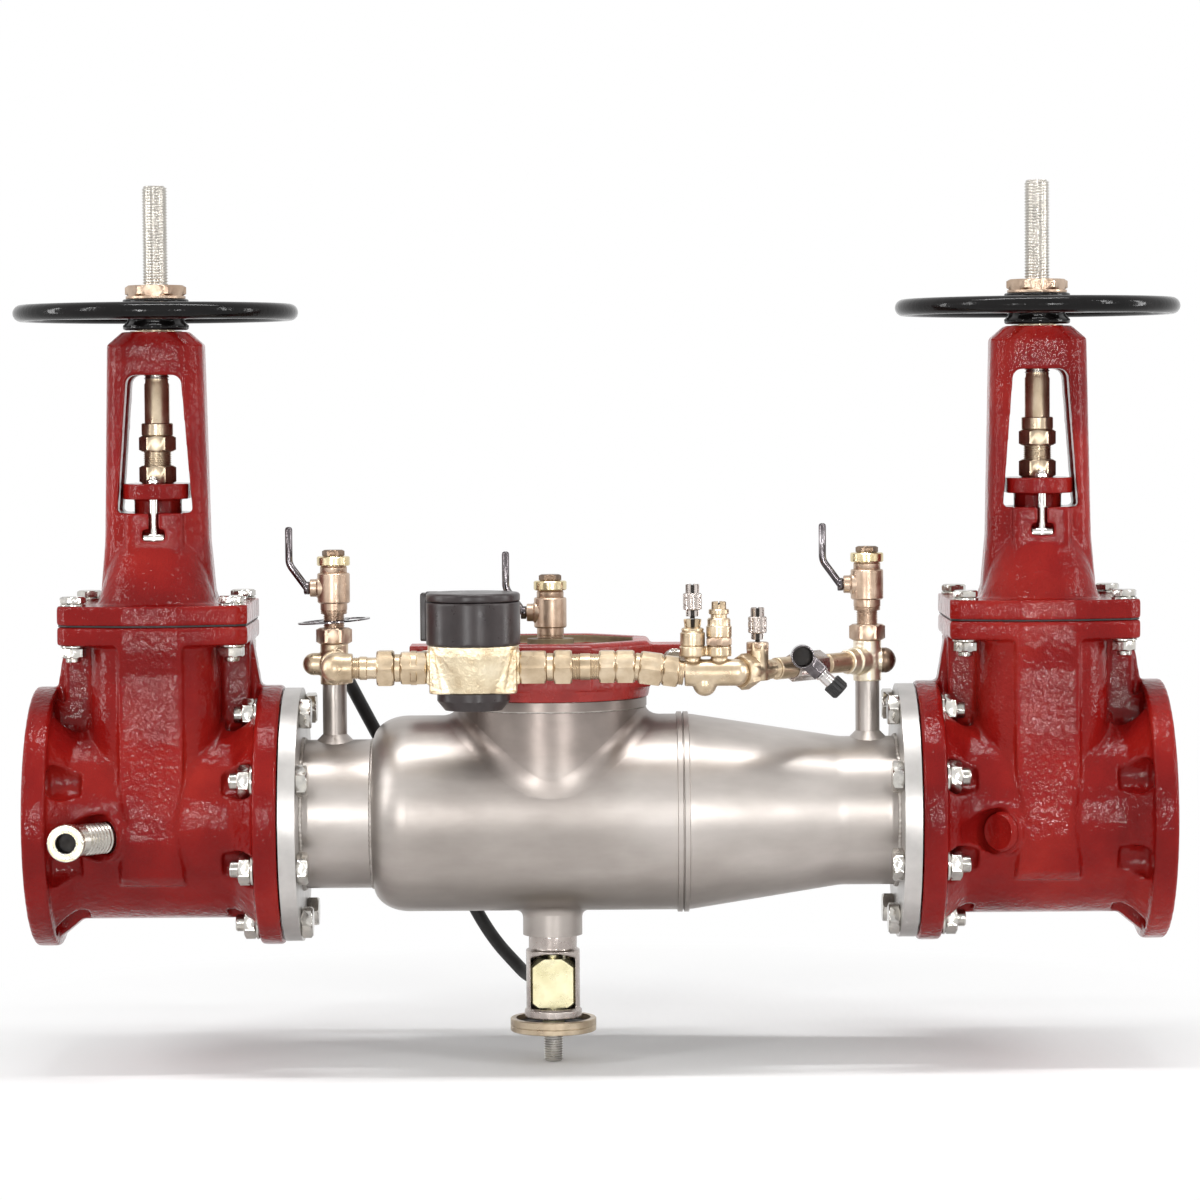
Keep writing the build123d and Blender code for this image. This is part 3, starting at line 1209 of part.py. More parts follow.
def test_cock(base_z, nut_height, nipple_height):
    """Ball test cock with its tail nut, capped outlet and lever boss, on the Z axis."""
    z = base_z
    parts = []
    if nut_height:
        nut = hex_z(0, 0, z, z + nut_height, COCK_NUT_FLATS)
        z += nut_height
        parts.append(nut + bar_z(0, 0, z, z + nipple_height, COCK_NIPPLE_RADIUS))
        z += nipple_height
    body = bar_z(0, 0, z, z + COCK_NECK_HEIGHT, COCK_NECK_RADIUS)
    z += COCK_NECK_HEIGHT
    body += bar_z(0, 0, z, z + COCK_BODY_HEIGHT, COCK_BODY_RADIUS)
    stem_z = z + COCK_BODY_HEIGHT / 2
    body += rod((0, 0, stem_z), (-COCK_BOSS_END, 0, stem_z), COCK_BOSS_RADIUS)
    bore = COCK_STEM_RADIUS + PIN_GAP
    body -= rod((-COCK_BOSS_END + COCK_STEM_DEPTH, 0, stem_z), (-COCK_BOSS_END, 0, stem_z), bore)
    z += COCK_BODY_HEIGHT
    body += bar_z(0, 0, z, z + COCK_COLLAR_HEIGHT, COCK_NECK_RADIUS)
    z += COCK_COLLAR_HEIGHT
    cap = bar_z(0, 0, z, z + COCK_CAP_HEIGHT, COCK_CAP_RADIUS)
    z += COCK_CAP_HEIGHT
    plug = hex_z(0, 0, z, z + COCK_PLUG_HEIGHT, COCK_PLUG_FLATS)
    return parts + [body, cap, plug], stem_z


def cock_lever(stem_z):
    """Bent lever with its hub and stem, pointing up at rest."""
    hub_x = -COCK_BOSS_END - RUN_GAP
    outer_x = hub_x - LEVER_HUB_THICKNESS
    lever = rod((hub_x, 0, stem_z), (outer_x, 0, stem_z), LEVER_HUB_RADIUS)
    stem_end = -COCK_BOSS_END + COCK_STEM_DEPTH - RUN_GAP
    lever += rod((stem_end, 0, stem_z), (hub_x, 0, stem_z), COCK_STEM_RADIUS)
    start = (hub_x - LEVER_HUB_THICKNESS / 2, 0, stem_z)
    bend = (outer_x - LEVER_REACH, 0, stem_z + LEVER_RISE)
    tip = (outer_x - LEVER_REACH, 0, stem_z + LEVER_TOP)
    path = FilletPolyline(start, bend, tip, radius=LEVER_REACH)
    section = Plane(origin=path @ 0, z_dir=path % 0) * Circle(LEVER_ROD_RADIUS)
    return lever + sweep(section, path)


def tag_ring(base_z):
    """Thin plated hoop tied by bars to a collar on the nipple of the inlet test cock."""
    middle_z = base_z + COCK_NUT_HEIGHT + COCK_NIPPLE_HEIGHT / 2
    hoop = Cylinder(HOOP_RADIUS, HOOP_THICKNESS) - Cylinder(HOOP_RADIUS - HOOP_WIDTH, HOOP_THICKNESS * 2)
    hoop += Cylinder(HOOP_COLLAR_RADIUS, HOOP_THICKNESS)
    reach = HOOP_RADIUS - HOOP_WIDTH / 2
    bar = Pos(reach / 2, 0, 0) * Box(reach, HOOP_BAR_WIDTH, HOOP_THICKNESS)
    for i in range(HOOP_BARS):
        hoop += Rot(0, 0, 60 + 360 / HOOP_BARS * i) * bar
    hoop -= Cylinder(COCK_NIPPLE_RADIUS + 1, HOOP_THICKNESS * 3)
    return Pos(0, 0, middle_z) * Rot(0, -HOOP_TILT, 0) * hoop


def make_cocks():
    """Three test cocks with their levers."""
    places = (
        (RISER_IN_X, COCK_BASE_Z, COCK_NUT_HEIGHT, COCK_NIPPLE_HEIGHT),
        (PORT_X, MIDDLE_BASE_Z, 0, 0),
        (RISER_OUT_X, COCK_BASE_Z, COCK_NUT_HEIGHT, COCK_NIPPLE_HEIGHT),
    )
    for number, (x, base_z, nut_height, nipple_height) in enumerate(places, start=1):
        place = Pos(MID_X + x, 0, 0)
        solids, stem_z = test_cock(base_z, nut_height, nipple_height)
        nodes[f"test_cock_{number}"] = [place * solid for solid in solids]
        nodes[f"cock_lever_{number}"] = place * cock_lever(stem_z)
    nodes["tag_ring"] = Pos(MID_X + RISER_IN_X, 0, 0) * tag_ring(COCK_BASE_Z)


# Bypass line

def fitting_cross(centre, arms, reach):
    """Round-bodied fitting with arms towards the given directions."""
    body = Pos(*centre) * Sphere(CROSS_RADIUS + 2)
    for arm in arms:
        end = centre + Vector(arm).normalized() * reach
        body += rod(centre, end, CROSS_RADIUS)
    return body


def bypass_cross():
    """Cross on the inlet riser: riser below, test cock above, bypass and hose at the sides."""
    elbow = Vector(MID_X + ELBOW_X, BYPASS_Y, METER_Z)
    front = elbow - BYPASS_START
    body = fitting_cross(BYPASS_START, [(0, 0, 1), (0, 0, -1), front, (0, 1, 0)], CROSS_REACH)
    dome_end = BYPASS_START + Vector(-CROSS_REACH, 0, 0)
    return body + rod(BYPASS_START, dome_end, CROSS_RADIUS * 0.8) + Pos(*dome_end) * Sphere(CROSS_RADIUS * 0.8)


def bypass_tee():
    """Tee on the outlet riser, with a domed plug facing the outlet."""
    toward = Vector(DEVICE_OUT.X, DEVICE_OUT.Y, DEVICE_OUT.Z) - BYPASS_END
    body = fitting_cross(BYPASS_END, [(0, 0, 1), (0, 0, -1), toward], CROSS_REACH)
    flare = toward.normalized()
    body += rod(BYPASS_END, BYPASS_END + flare * (CROSS_REACH + TEE_NECK), BYPASS_PIPE_RADIUS + 2)
    dome_end = BYPASS_END + Vector(CROSS_REACH - 4, 0, 0)
    return body + rod(BYPASS_END, dome_end, CROSS_RADIUS * 0.85) + Pos(*dome_end) * Sphere(CROSS_RADIUS * 0.85)


def line_one(x, z=METER_Z):
    """Point on the straight run through the meter."""
    return Vector(MID_X + x, BYPASS_Y, z)


def bypass_line():
    """Elbow, nipples, union nuts and adapters of the bypass, each its own piece."""
    elbow = line_one(ELBOW_X)
    inward = (BYPASS_START - elbow).normalized()
    cross_end = BYPASS_START - inward * CROSS_REACH
    elbow_body = Pos(*elbow) * Sphere(ELBOW_RADIUS)
    elbow_body += rod(elbow, elbow + inward * ELBOW_ARM, ELBOW_RADIUS - 1)
    elbow_body += rod(elbow, elbow + Vector(ELBOW_MOUTH, 0, 0), ELBOW_RADIUS - 1)
    pieces = [elbow_body, rod(elbow + inward * ELBOW_ARM, cross_end, BYPASS_PIPE_RADIUS)]
    adapter_start = METER_IN_X - ADAPTER_HEX
    union_end = adapter_start - ADAPTER_COLLAR
    union_start = union_end - UNION_LENGTH
    pieces.append(rod(line_one(ELBOW_X + ELBOW_MOUTH), line_one(union_start), BYPASS_PIPE_RADIUS))
    pieces.append(hex_bar(line_one(union_start), line_one(union_end), UNION_FLATS))
    adapter = rod(line_one(union_end), line_one(adapter_start), RING_PIECE_RADIUS)
    adapter += hex_bar(line_one(adapter_start), line_one(METER_IN_X), HEX_FLATS)
    pieces.append(adapter)
    collar_start = METER_OUT_X + TAIL_HEX
    nut_start = collar_start + TAIL_COLLAR
    nipple_start = nut_start + TAIL_NUT
    hex_start = nipple_start + TAIL_NIPPLE
    hex_end = hex_start + TAIL_UNION
    tail = hex_bar(line_one(METER_OUT_X), line_one(collar_start), HEX_FLATS)
    tail += rod(line_one(collar_start), line_one(nut_start), RING_PIECE_RADIUS)
    pieces.append(tail)
    pieces.append(hex_bar(line_one(nut_start), line_one(nipple_start), HEX_FLATS + 1))
    pieces.append(rod(line_one(nipple_start), line_one(hex_start), RING_PIECE_RADIUS - 0.5))
    pieces.append(hex_bar(line_one(hex_start), line_one(hex_end), HEX_FLATS))
    tilt_start = line_one(TILT_X)
    last_hex = hex_bar(line_one(hex_end + UNION_JOINT), tilt_start, HEX_FLATS)
    pieces.append(last_hex)
    tilt_end = line_one(DEVICE_IN_X, DEVICE_Z)
    run = tilt_end - tilt_start

    def tilted(share):
        return tilt_start + run * share

    pieces.append(rod(tilt_start, tilted(0.1), RING_PIECE_RADIUS) - last_hex)
    pieces.append(hex_bar(tilted(0.1), tilted(0.55), HEX_FLATS))
    pieces.append(hex_bar(tilted(0.57), tilted(0.88), HEX_FLATS - 2))
    device = rod(tilt_end, line_one(DEVICE_OUT_X, DEVICE_Z), DEVICE_RADIUS)
    pieces.append(rod(tilted(0.88), tilt_end, RING_PIECE_RADIUS - 1) - device)
    return pieces + angled_line()


def angled(reach):
    """Point on the run from the small device back to the outlet riser."""
    run = BYPASS_END - DEVICE_OUT
    return DEVICE_OUT + run.normalized() * reach


def petcock_seat():
    """Hexagonal coupling of the angled run, which carries the petcock."""
    start = PETCOCK_REACH - PETCOCK_SEAT / 3
    return hex_bar(angled(start), angled(start + PETCOCK_SEAT), PETCOCK_SEAT_FLATS, (0, 0, 1))


def angled_line():
    """Pieces of the angled run: union, tee of the third small cock, nipples and coupling."""
    pieces = [hex_bar(angled(UNION_START), angled(UNION_END), HEX_FLATS, (0, 0, 1))]
    cock = angled(LINE_COCK_REACH)
    hex_z_start = LINE_COCK_TOP_Z - LINE_COCK_HEX_HEIGHT
    shank_end = LINE_COCK_REACH + LINE_COCK_SHANK
    tee = bar_z(cock.X, cock.Y, LINE_COCK_BOTTOM_Z, hex_z_start, LINE_COCK_RADIUS)
    tee += hex_z(cock.X, cock.Y, hex_z_start, LINE_COCK_TOP_Z, LINE_COCK_HEX_FLATS)
    tee += rod(angled(UNION_END), angled(shank_end), LINE_COCK_RADIUS)
    tee -= rod(angled(UNION_START), angled(UNION_END), HEX_FLATS)
    pieces.append(tee)
    pieces.append(rod(angled(shank_end), angled(PETCOCK_REACH - PETCOCK_SEAT / 3), BYPASS_PIPE_RADIUS - 1))
    pieces.append(petcock_seat())
    tee_edge = (BYPASS_END - DEVICE_OUT).length - CROSS_REACH - TEE_NECK
    pieces.append(rod(angled(PETCOCK_REACH + PETCOCK_SEAT * 2 / 3), angled(tee_edge), BYPASS_PIPE_RADIUS - 0.4))
    return pieces


def make_bypass():
    """Cross, tee and line pieces of the bypass."""
    nodes["bypass_cross"] = bypass_cross()
    nodes["bypass_tee"] = bypass_tee()
    nodes["bypass_line"] = bypass_line()


# Water meter

def meter_place():
    """Centre of the meter on the pipe axis of the bypass."""
    return Pos(MID_X + (METER_IN_X + METER_OUT_X) / 2, BYPASS_Y, 0)


def meter_body():
    """Cast brass meter body: tapered bowl between two ports."""
    half = (METER_OUT_X - METER_IN_X) / 2
    bowl = turned_z(outline([
        (0, METER_BOTTOM_Z),
        (METER_BASE_RADIUS, METER_BOTTOM_Z),
        (METER_RADIUS, METER_TOP_Z - 10),
        (METER_RADIUS, METER_TOP_Z),
        (0, METER_TOP_Z),
    ]))
    port = block(
        (-half, -METER_PORT_HALF_Y, METER_Z - METER_PORT_HALF_Z),
        (half, METER_PORT_HALF_Y, METER_Z + METER_PORT_HALF_Z),
    )
    wing = extrude(rounded(2 * half - 6, 60, 14, METER_BOTTOM_Z), METER_TOP_Z - METER_BOTTOM_Z)
    return bowl + port + wing


def meter_register():
    """Round black register housing with its hinge post at the back left."""
    top = REGISTER_TOP_Z
    housing = bar_z(0, 0, METER_TOP_Z, top, REGISTER_RADIUS)
    housing += block(
        (LID_HINGE_X - LID_POST_HALF, LID_HINGE_Y - LID_HINGE_HALF, METER_TOP_Z + 3),
        (LID_HINGE_X + 2 * LID_POST_HALF, LID_HINGE_Y + LID_HINGE_HALF, top),
    )
    housing -= bar_z(0, 0, top - REGISTER_DEPTH, top, REGISTER_RADIUS - REGISTER_WALL)
    housing += bar_z(0, 0, top - REGISTER_DEPTH, top - REGISTER_DEPTH + SPINDLE_HEIGHT, SPINDLE_RADIUS)
    pin_z = top + LID_PIN_RISE
    low_y = LID_HINGE_Y - LID_HINGE_HALF
    high_y = LID_HINGE_Y + LID_HINGE_HALF
    for ear_y in (low_y, high_y - LID_EAR):
        housing += block(
            (LID_HINGE_X - LID_POST_HALF, ear_y, top),
            (LID_HINGE_X + LID_POST_HALF / 2, ear_y + LID_EAR, pin_z + 2 * LID_PIN_RADIUS),
        )
    return housing + rod((LID_HINGE_X, low_y, pin_z), (LID_HINGE_X, high_y, pin_z), LID_PIN_RADIUS)


def meter_lid():
    """Lid disc with its hinge knuckle round the pin."""
    bottom = REGISTER_TOP_Z + LID_GAP
    top = bottom + LID_THICKNESS
    lid = bar_z(0, 0, bottom, top, REGISTER_RADIUS)
    lid = chamfer(lid.faces().sort_by(Axis.Z)[-1].edges(), 2)
    notch_x = LID_HINGE_X + LID_NOTCH
    lid -= block(
        (-REGISTER_RADIUS, LID_HINGE_Y - LID_HINGE_HALF - RUN_GAP, bottom),
        (notch_x, LID_HINGE_Y + LID_HINGE_HALF + RUN_GAP, top),
    )
    pin_z = REGISTER_TOP_Z + LID_PIN_RISE
    half = LID_HINGE_HALF - LID_EAR - RUN_GAP
    low, high = LID_HINGE_Y - half, LID_HINGE_Y + half
    lid += rod((LID_HINGE_X, low, pin_z), (LID_HINGE_X, high, pin_z), LID_PIN_RISE - LID_GAP)
    lid += block((LID_HINGE_X, low, pin_z), (notch_x + 2, high, top))
    return lid - rod((LID_HINGE_X, low, pin_z), (LID_HINGE_X, high, pin_z), LID_PIN_RADIUS + PIN_GAP)


def meter_hand():
    """Sweep hand on the register spindle."""
    bottom = REGISTER_TOP_Z - REGISTER_DEPTH + SPINDLE_HEIGHT + LID_GAP
    hub = bar_z(0, 0, bottom, bottom + HAND_THICKNESS * 2, 3.5)
    arm = block((-8, -0.9, bottom), (HAND_LENGTH, 0.9, bottom + HAND_THICKNESS))
    return hub + arm


def meter_bottom_plate():
    """Black bottom cover under the bowl."""
    return turned_z(outline([
        (0, METER_PLATE_BOTTOM_Z),
        (METER_PLATE_RADIUS - 8, METER_PLATE_BOTTOM_Z),
        (METER_PLATE_RADIUS, METER_PLATE_BOTTOM_Z + 10),
        (METER_PLATE_RADIUS, METER_BOTTOM_Z),
        (0, METER_BOTTOM_Z),
    ]))


def make_meter():
    """Water meter on the bypass."""
    place = meter_place()
    nodes["meter_body"] = place * meter_body()
    nodes["meter_bottom_plate"] = place * meter_bottom_plate()
    nodes["meter_register"] = place * meter_register()
    nodes["meter_lid"] = place * meter_lid()
    nodes["meter_hand"] = place * meter_hand()


# Small backflow device on the bypass

def device_body():
    """Body of the small reduced pressure device with its relief bulb and tower seats."""
    start = line_one(DEVICE_IN_X, DEVICE_Z)
    end = line_one(DEVICE_OUT_X, DEVICE_Z)
    body = rod(start, end, DEVICE_RADIUS) + Pos(*end) * Sphere(DEVICE_RADIUS)
    body -= rod(angled(UNION_START), angled(LINE_COCK_REACH), HEX_FLATS)
    body += rod(end, angled(UNION_START), DEVICE_RADIUS - 1)
    bulb_x = MID_X + (DEVICE_IN_X + DEVICE_OUT_X) / 2 - 6
    bulb_z = DEVICE_BULB_BOTTOM_Z + DEVICE_BULB_RADIUS
    body += bar_z(bulb_x, BYPASS_Y, bulb_z, DEVICE_Z, DEVICE_BULB_RADIUS)
    body += Pos(bulb_x, BYPASS_Y, bulb_z) * Sphere(DEVICE_BULB_RADIUS)
    seat_z = DEVICE_Z + DEVICE_RADIUS + 3
    for x, radius in ((TOWER_1_X, TOWER_1_RADIUS + 1), (TOWER_2_X, TOWER_2_RADIUS)):
        body += bar_z(MID_X + x, BYPASS_Y, DEVICE_Z, seat_z, DEVICE_RADIUS * 0.6)
        body += bar_z(MID_X + x, BYPASS_Y, seat_z, TOWER_BASE_Z, radius)
    return body


def device_bonnets():
    """Two bonnets that close the check bores of the small device."""
    x = MID_X + TOWER_1_X
    first = bar_z(x, BYPASS_Y, TOWER_BASE_Z, TOWER_1_TOP_Z - 6, TOWER_1_RADIUS)
    first += bar_z(x, BYPASS_Y, TOWER_1_TOP_Z - 6, TOWER_1_TOP_Z, KNOB_END_RADIUS + 3)
    x = MID_X + TOWER_2_X
    second = hex_z(x, BYPASS_Y, TOWER_BASE_Z, TOWER_BASE_Z + 9, TOWER_2_RADIUS * 2, 30)
    second += bar_z(x, BYPASS_Y, TOWER_BASE_Z + 9, TOWER_2_TOP_Z - 6, TOWER_2_RADIUS - 1)
    second += bar_z(x, BYPASS_Y, TOWER_2_TOP_Z - 6, TOWER_2_TOP_Z, TOWER_2_RADIUS - 3)
    second += hex_z(x, BYPASS_Y, TOWER_2_TOP_Z, TOWER_2_TOP_Z + 11, KNOB_END_RADIUS * 2)
    return [first, second]


def small_knob(x, y, base_z):
    """Knurled turning knob of a small test cock, with its slotted ends."""
    low = base_z + RUN_GAP
    knob = bar_z(x, y, low, low + KNOB_END_HEIGHT, KNOB_END_RADIUS)
    knob += bar_z(x, y, low + KNOB_END_HEIGHT, low + KNOB_END_HEIGHT + KNOB_HEIGHT, KNOB_RADIUS)
    top = low + KNOB_END_HEIGHT + KNOB_HEIGHT
    return knob + hex_z(x, y, top, top + KNOB_END_HEIGHT, KNOB_END_RADIUS * 2 - 1)


def make_device():
    """Small backflow device with its turning test cocks."""
    nodes["device_body"] = device_body()
    nodes["device_bonnets"] = device_bonnets()
    nodes["device_knob_1"] = small_knob(MID_X + TOWER_1_X, BYPASS_Y, TOWER_1_TOP_Z)
    cock = angled(LINE_COCK_REACH)
    nodes["device_knob_2"] = small_knob(cock.X, cock.Y, LINE_COCK_TOP_Z)


# Petcock

def petcock_ends():
    """Start and end of the petcock's slanting stem."""
    start = Vector(MID_X + PETCOCK_X, PETCOCK_END_Y + PETCOCK_RADIUS, PETCOCK_Z)
    end = Vector(MID_X + PETCOCK_STEM_END_X, PETCOCK_END_Y + PETCOCK_RADIUS, PETCOCK_STEM_END_Z)
    return start, end


def petcock_body():
    """Chromed petcock with an open outlet to the front and a slanting stem housing."""
    start, end = petcock_ends()
    root = angled(PETCOCK_REACH)
    body = rod(root, start, PETCOCK_RADIUS - 4)
    body += rod((start.X, start.Y + 8, start.Z), (start.X, PETCOCK_END_Y, start.Z), PETCOCK_RADIUS)
    slope = (end - start).normalized()
    body += hex_bar(start, start + slope * 26, PETCOCK_HEX_FLATS + 2, (0, -1, 0))
    for piece in angled_line():
        body -= piece
    body -= rod((start.X, PETCOCK_END_Y, start.Z), (start.X, PETCOCK_END_Y + 14, start.Z), PETCOCK_BORE)
    return body - rod(start + slope * 14, start + slope * 26, KNOB_END_RADIUS - 2)


def petcock_knob():
    """Turning stem of the petcock with its rubber-capped end."""
    start, end = petcock_ends()
    slope = (end - start).normalized()
    knob = rod(start + slope * 14.3, start + slope * 26.3, KNOB_END_RADIUS - 2 - PIN_GAP)
    knob += rod(start + slope * 26.3, end, KNOB_END_RADIUS)
    return knob + rod(end - slope * PETCOCK_CAP_LENGTH / 2, end + slope * PETCOCK_CAP_LENGTH / 2, PETCOCK_CAP_RADIUS)


def make_petcock():
    """Petcock on the angled run of the bypass."""
    nodes["petcock_body"] = petcock_body()
    nodes["petcock_knob"] = petcock_knob()


# Tap fitting on the inlet valve

def make_tap():
    """Nipple, 45 degree elbow and brass bush on the inlet valve's tapping."""
    face = Vector(STEM_X["inlet"] + TAP_X, TAP_Y, TAP_Z)
    axis = tap_axis()
    corner = face + axis * TAP_PIPE_LENGTH
    nipple = rod(face - axis * TAP_HOLE_DEPTH, corner, TAP_PIPE_RADIUS)
    elbow = Pos(*corner) * Sphere(TAP_ELBOW_RADIUS)
    mouth = corner + Vector(0, -TAP_STUB_LENGTH, 0)
    elbow += rod(corner, mouth, TAP_ELBOW_RADIUS)
    outer = mouth + Vector(0, -TAP_SOCKET_LENGTH, 0)
    bore = rod(outer, corner, TAP_SOCKET_BORE)
    bush = rod(mouth, outer, TAP_SOCKET_RADIUS) - bore
    elbow = nipple + elbow - bore - rod(mouth, outer, TAP_SOCKET_RADIUS)
    nodes["tap_fitting"] = [elbow, bush]


# Sensing hose

def hose_port(reach):
    """Point on the axis of the relief valve's hose port."""
    side = Vector(cos(radians(HOSE_PORT_ANGLE)), sin(radians(HOSE_PORT_ANGLE)), 0)
    return Vector(MID_X + PORT_X, 0, HOSE_PORT_Z) + side * reach


def make_hose():
    """Sensing hose from the cross to the relief valve, with a nut at each end."""
    start = BYPASS_START + Vector(0, HOSE_START_Y, 0)
    end = hose_port(HOSE_PORT_REACH)
    points = [start, start + Vector(0, HOSE_LEAD, 0)]
    points += [Vector(MID_X, 0, 0) + Vector(*point) for point in HOSE_POINTS]
    points += [hose_port(HOSE_PORT_REACH + HOSE_LEAD), end]
    runs = [(b - a).length for a, b in zip(points, points[1:])]
    radii = []
    for i in range(1, len(points) - 1):
        turn = (points[i] - points[i - 1]).get_angle(points[i + 1] - points[i])
        radii.append(0.45 * min(runs[i - 1], runs[i]) / tan(radians(turn) / 2))
    path = FilletPolyline(*points, radius=radii)
    section = Plane(origin=path @ 0, z_dir=path % 0) * Circle(HOSE_RADIUS)
    nodes["sensing_hose"] = sweep(section, path)
    print("hose length", round(path.length, 1), "radii", [round(r) for r in radii])
    top_nut = hex_bar(BYPASS_START + Vector(0, CROSS_REACH, 0), start, HOSE_NUT_FLATS, (0, 0, 1))
    bottom_nut = rod(hose_port(0), hose_port(RELIEF_RADIUS + 3), HOSE_PORT_RADIUS)
    bottom_nut -= bar_z(MID_X + PORT_X, 0, RELIEF_BOTTOM_Z, DRAIN_NECK_BOTTOM_Z, RELIEF_RADIUS)
    bottom_nut += hex_bar(hose_port(RELIEF_RADIUS + 3), end, HOSE_NUT_FLATS)
    nodes["hose_fittings"] = [top_nut, bottom_nut]


make_valves()
make_flange_joints()
make_body()
make_checks()
make_relief()
make_cocks()
make_bypass()
make_meter()
make_device()
make_petcock()
make_tap()
make_hose()

os.makedirs("parts", exist_ok=True)
for name, shape in nodes.items():
    solids = shape if isinstance(shape, list) else [shape]
    export_step(Compound([solid for piece in solids for solid in piece.solids()]), f"parts/{name}.step")
print(len(nodes), "nodes")
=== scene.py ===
import bpy
import bmesh
import json
from math import atan2, ceil, cos, pi, radians, sin, sqrt, tan
from mathutils import Matrix, Vector

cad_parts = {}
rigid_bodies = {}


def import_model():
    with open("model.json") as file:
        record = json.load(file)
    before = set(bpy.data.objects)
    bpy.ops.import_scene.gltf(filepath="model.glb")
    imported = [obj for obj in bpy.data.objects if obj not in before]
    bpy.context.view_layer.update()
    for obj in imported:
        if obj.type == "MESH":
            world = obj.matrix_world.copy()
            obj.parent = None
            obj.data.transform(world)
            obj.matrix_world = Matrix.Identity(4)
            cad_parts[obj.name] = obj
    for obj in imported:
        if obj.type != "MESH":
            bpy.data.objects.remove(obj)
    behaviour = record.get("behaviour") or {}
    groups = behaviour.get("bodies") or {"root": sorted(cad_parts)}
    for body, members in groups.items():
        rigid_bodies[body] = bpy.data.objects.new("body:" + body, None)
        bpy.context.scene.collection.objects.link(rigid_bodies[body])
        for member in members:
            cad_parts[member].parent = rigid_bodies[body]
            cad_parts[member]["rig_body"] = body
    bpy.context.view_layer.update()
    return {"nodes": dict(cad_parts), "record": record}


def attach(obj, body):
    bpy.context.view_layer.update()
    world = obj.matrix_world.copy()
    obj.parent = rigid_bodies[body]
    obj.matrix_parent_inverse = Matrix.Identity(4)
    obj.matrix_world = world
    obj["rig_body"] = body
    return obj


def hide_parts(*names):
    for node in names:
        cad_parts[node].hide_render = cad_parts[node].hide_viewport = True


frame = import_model()
nodes = frame["nodes"]
scene = bpy.context.scene

MM = 0.001
UP = (0, 0, 1)
ALONG = (1, 0, 0)
TO_VIEWER = (0, -1, 0)

# Places in millimetres, in the part's own frame

MID_X = 606.0
STEM_X = {"inlet": 133.35, "outlet": 1078.65}
PORT_X = MID_X - 52.0
RISER_IN_X = MID_X - 285.0
RISER_OUT_X = MID_X + 289.0
METER_X = MID_X - 130.5
BYPASS_Y = -150.0
LINE_Z = 167.0
RISER_TOP_Z = 162.0
SHELL_RADIUS = 105.5


# Materials

def socket(node, name):
    """Input socket of a shader node by its name."""
    return node.inputs[name]


def shader(name):
    """New material with its node tree, main shader and object coordinates."""
    material = bpy.data.materials.new(name)
    material.use_nodes = True
    tree = material.node_tree
    main = tree.nodes["Principled BSDF"]
    place = tree.nodes.new("ShaderNodeTexCoord")
    return material, tree, main, place


def noise(tree, place, scale, detail=4.0, stretch=(1, 1, 1)):
    """Noise in object coordinates, stretched along chosen axes."""
    mapping = tree.nodes.new("ShaderNodeMapping")
    socket(mapping, "Scale").default_value = stretch
    tree.links.new(place.outputs["Object"], mapping.inputs["Vector"])
    texture = tree.nodes.new("ShaderNodeTexNoise")
    socket(texture, "Scale").default_value = scale
    socket(texture, "Detail").default_value = detail
    socket(texture, "Roughness").default_value = 0.55
    tree.links.new(mapping.outputs["Vector"], texture.inputs["Vector"])
    return texture.outputs["Fac"]


def ramp(tree, fac, stops):
    """Colour ramp over a factor; stops are (position, colour)."""
    node = tree.nodes.new("ShaderNodeValToRGB")
    points = node.color_ramp.elements
    while len(points) < len(stops):
        points.new(0.5)
    for point, (position, colour) in zip(points, stops):
        point.position = position
        point.color = (*colour, 1.0)
    tree.links.new(fac, node.inputs["Fac"])
    return node.outputs["Color"]


def remap(tree, fac, low, high, start=0.3, end=0.7):
    """Factor moved to another range."""
    node = tree.nodes.new("ShaderNodeMapRange")
    socket(node, "From Min").default_value = start
    socket(node, "From Max").default_value = end
    socket(node, "To Min").default_value = low
    socket(node, "To Max").default_value = high
    tree.links.new(fac, node.inputs["Value"])
    return node.outputs["Result"]


def bump(tree, fac, strength, distance, under=None):
    """Bump on top of another bump."""
    node = tree.nodes.new("ShaderNodeBump")
    socket(node, "Strength").default_value = strength
    socket(node, "Distance").default_value = distance
    tree.links.new(fac, node.inputs["Height"])
    if under is not None:
        tree.links.new(under, node.inputs["Normal"])
    return node.outputs["Normal"]


def blend_colour(tree, fac, one, two, mode="MIX"):
    """Mix of two colours by a factor, or in full where the factor is None."""
    node = tree.nodes.new("ShaderNodeMix")
    node.data_type = "RGBA"
    node.blend_type = mode
    if fac is None:
        socket(node, "Factor").default_value = 1.0
    else:
        tree.links.new(fac, node.inputs["Factor"])
    tree.links.new(one, node.inputs["A"])
    tree.links.new(two, node.inputs["B"])
    return node.outputs["Result"]


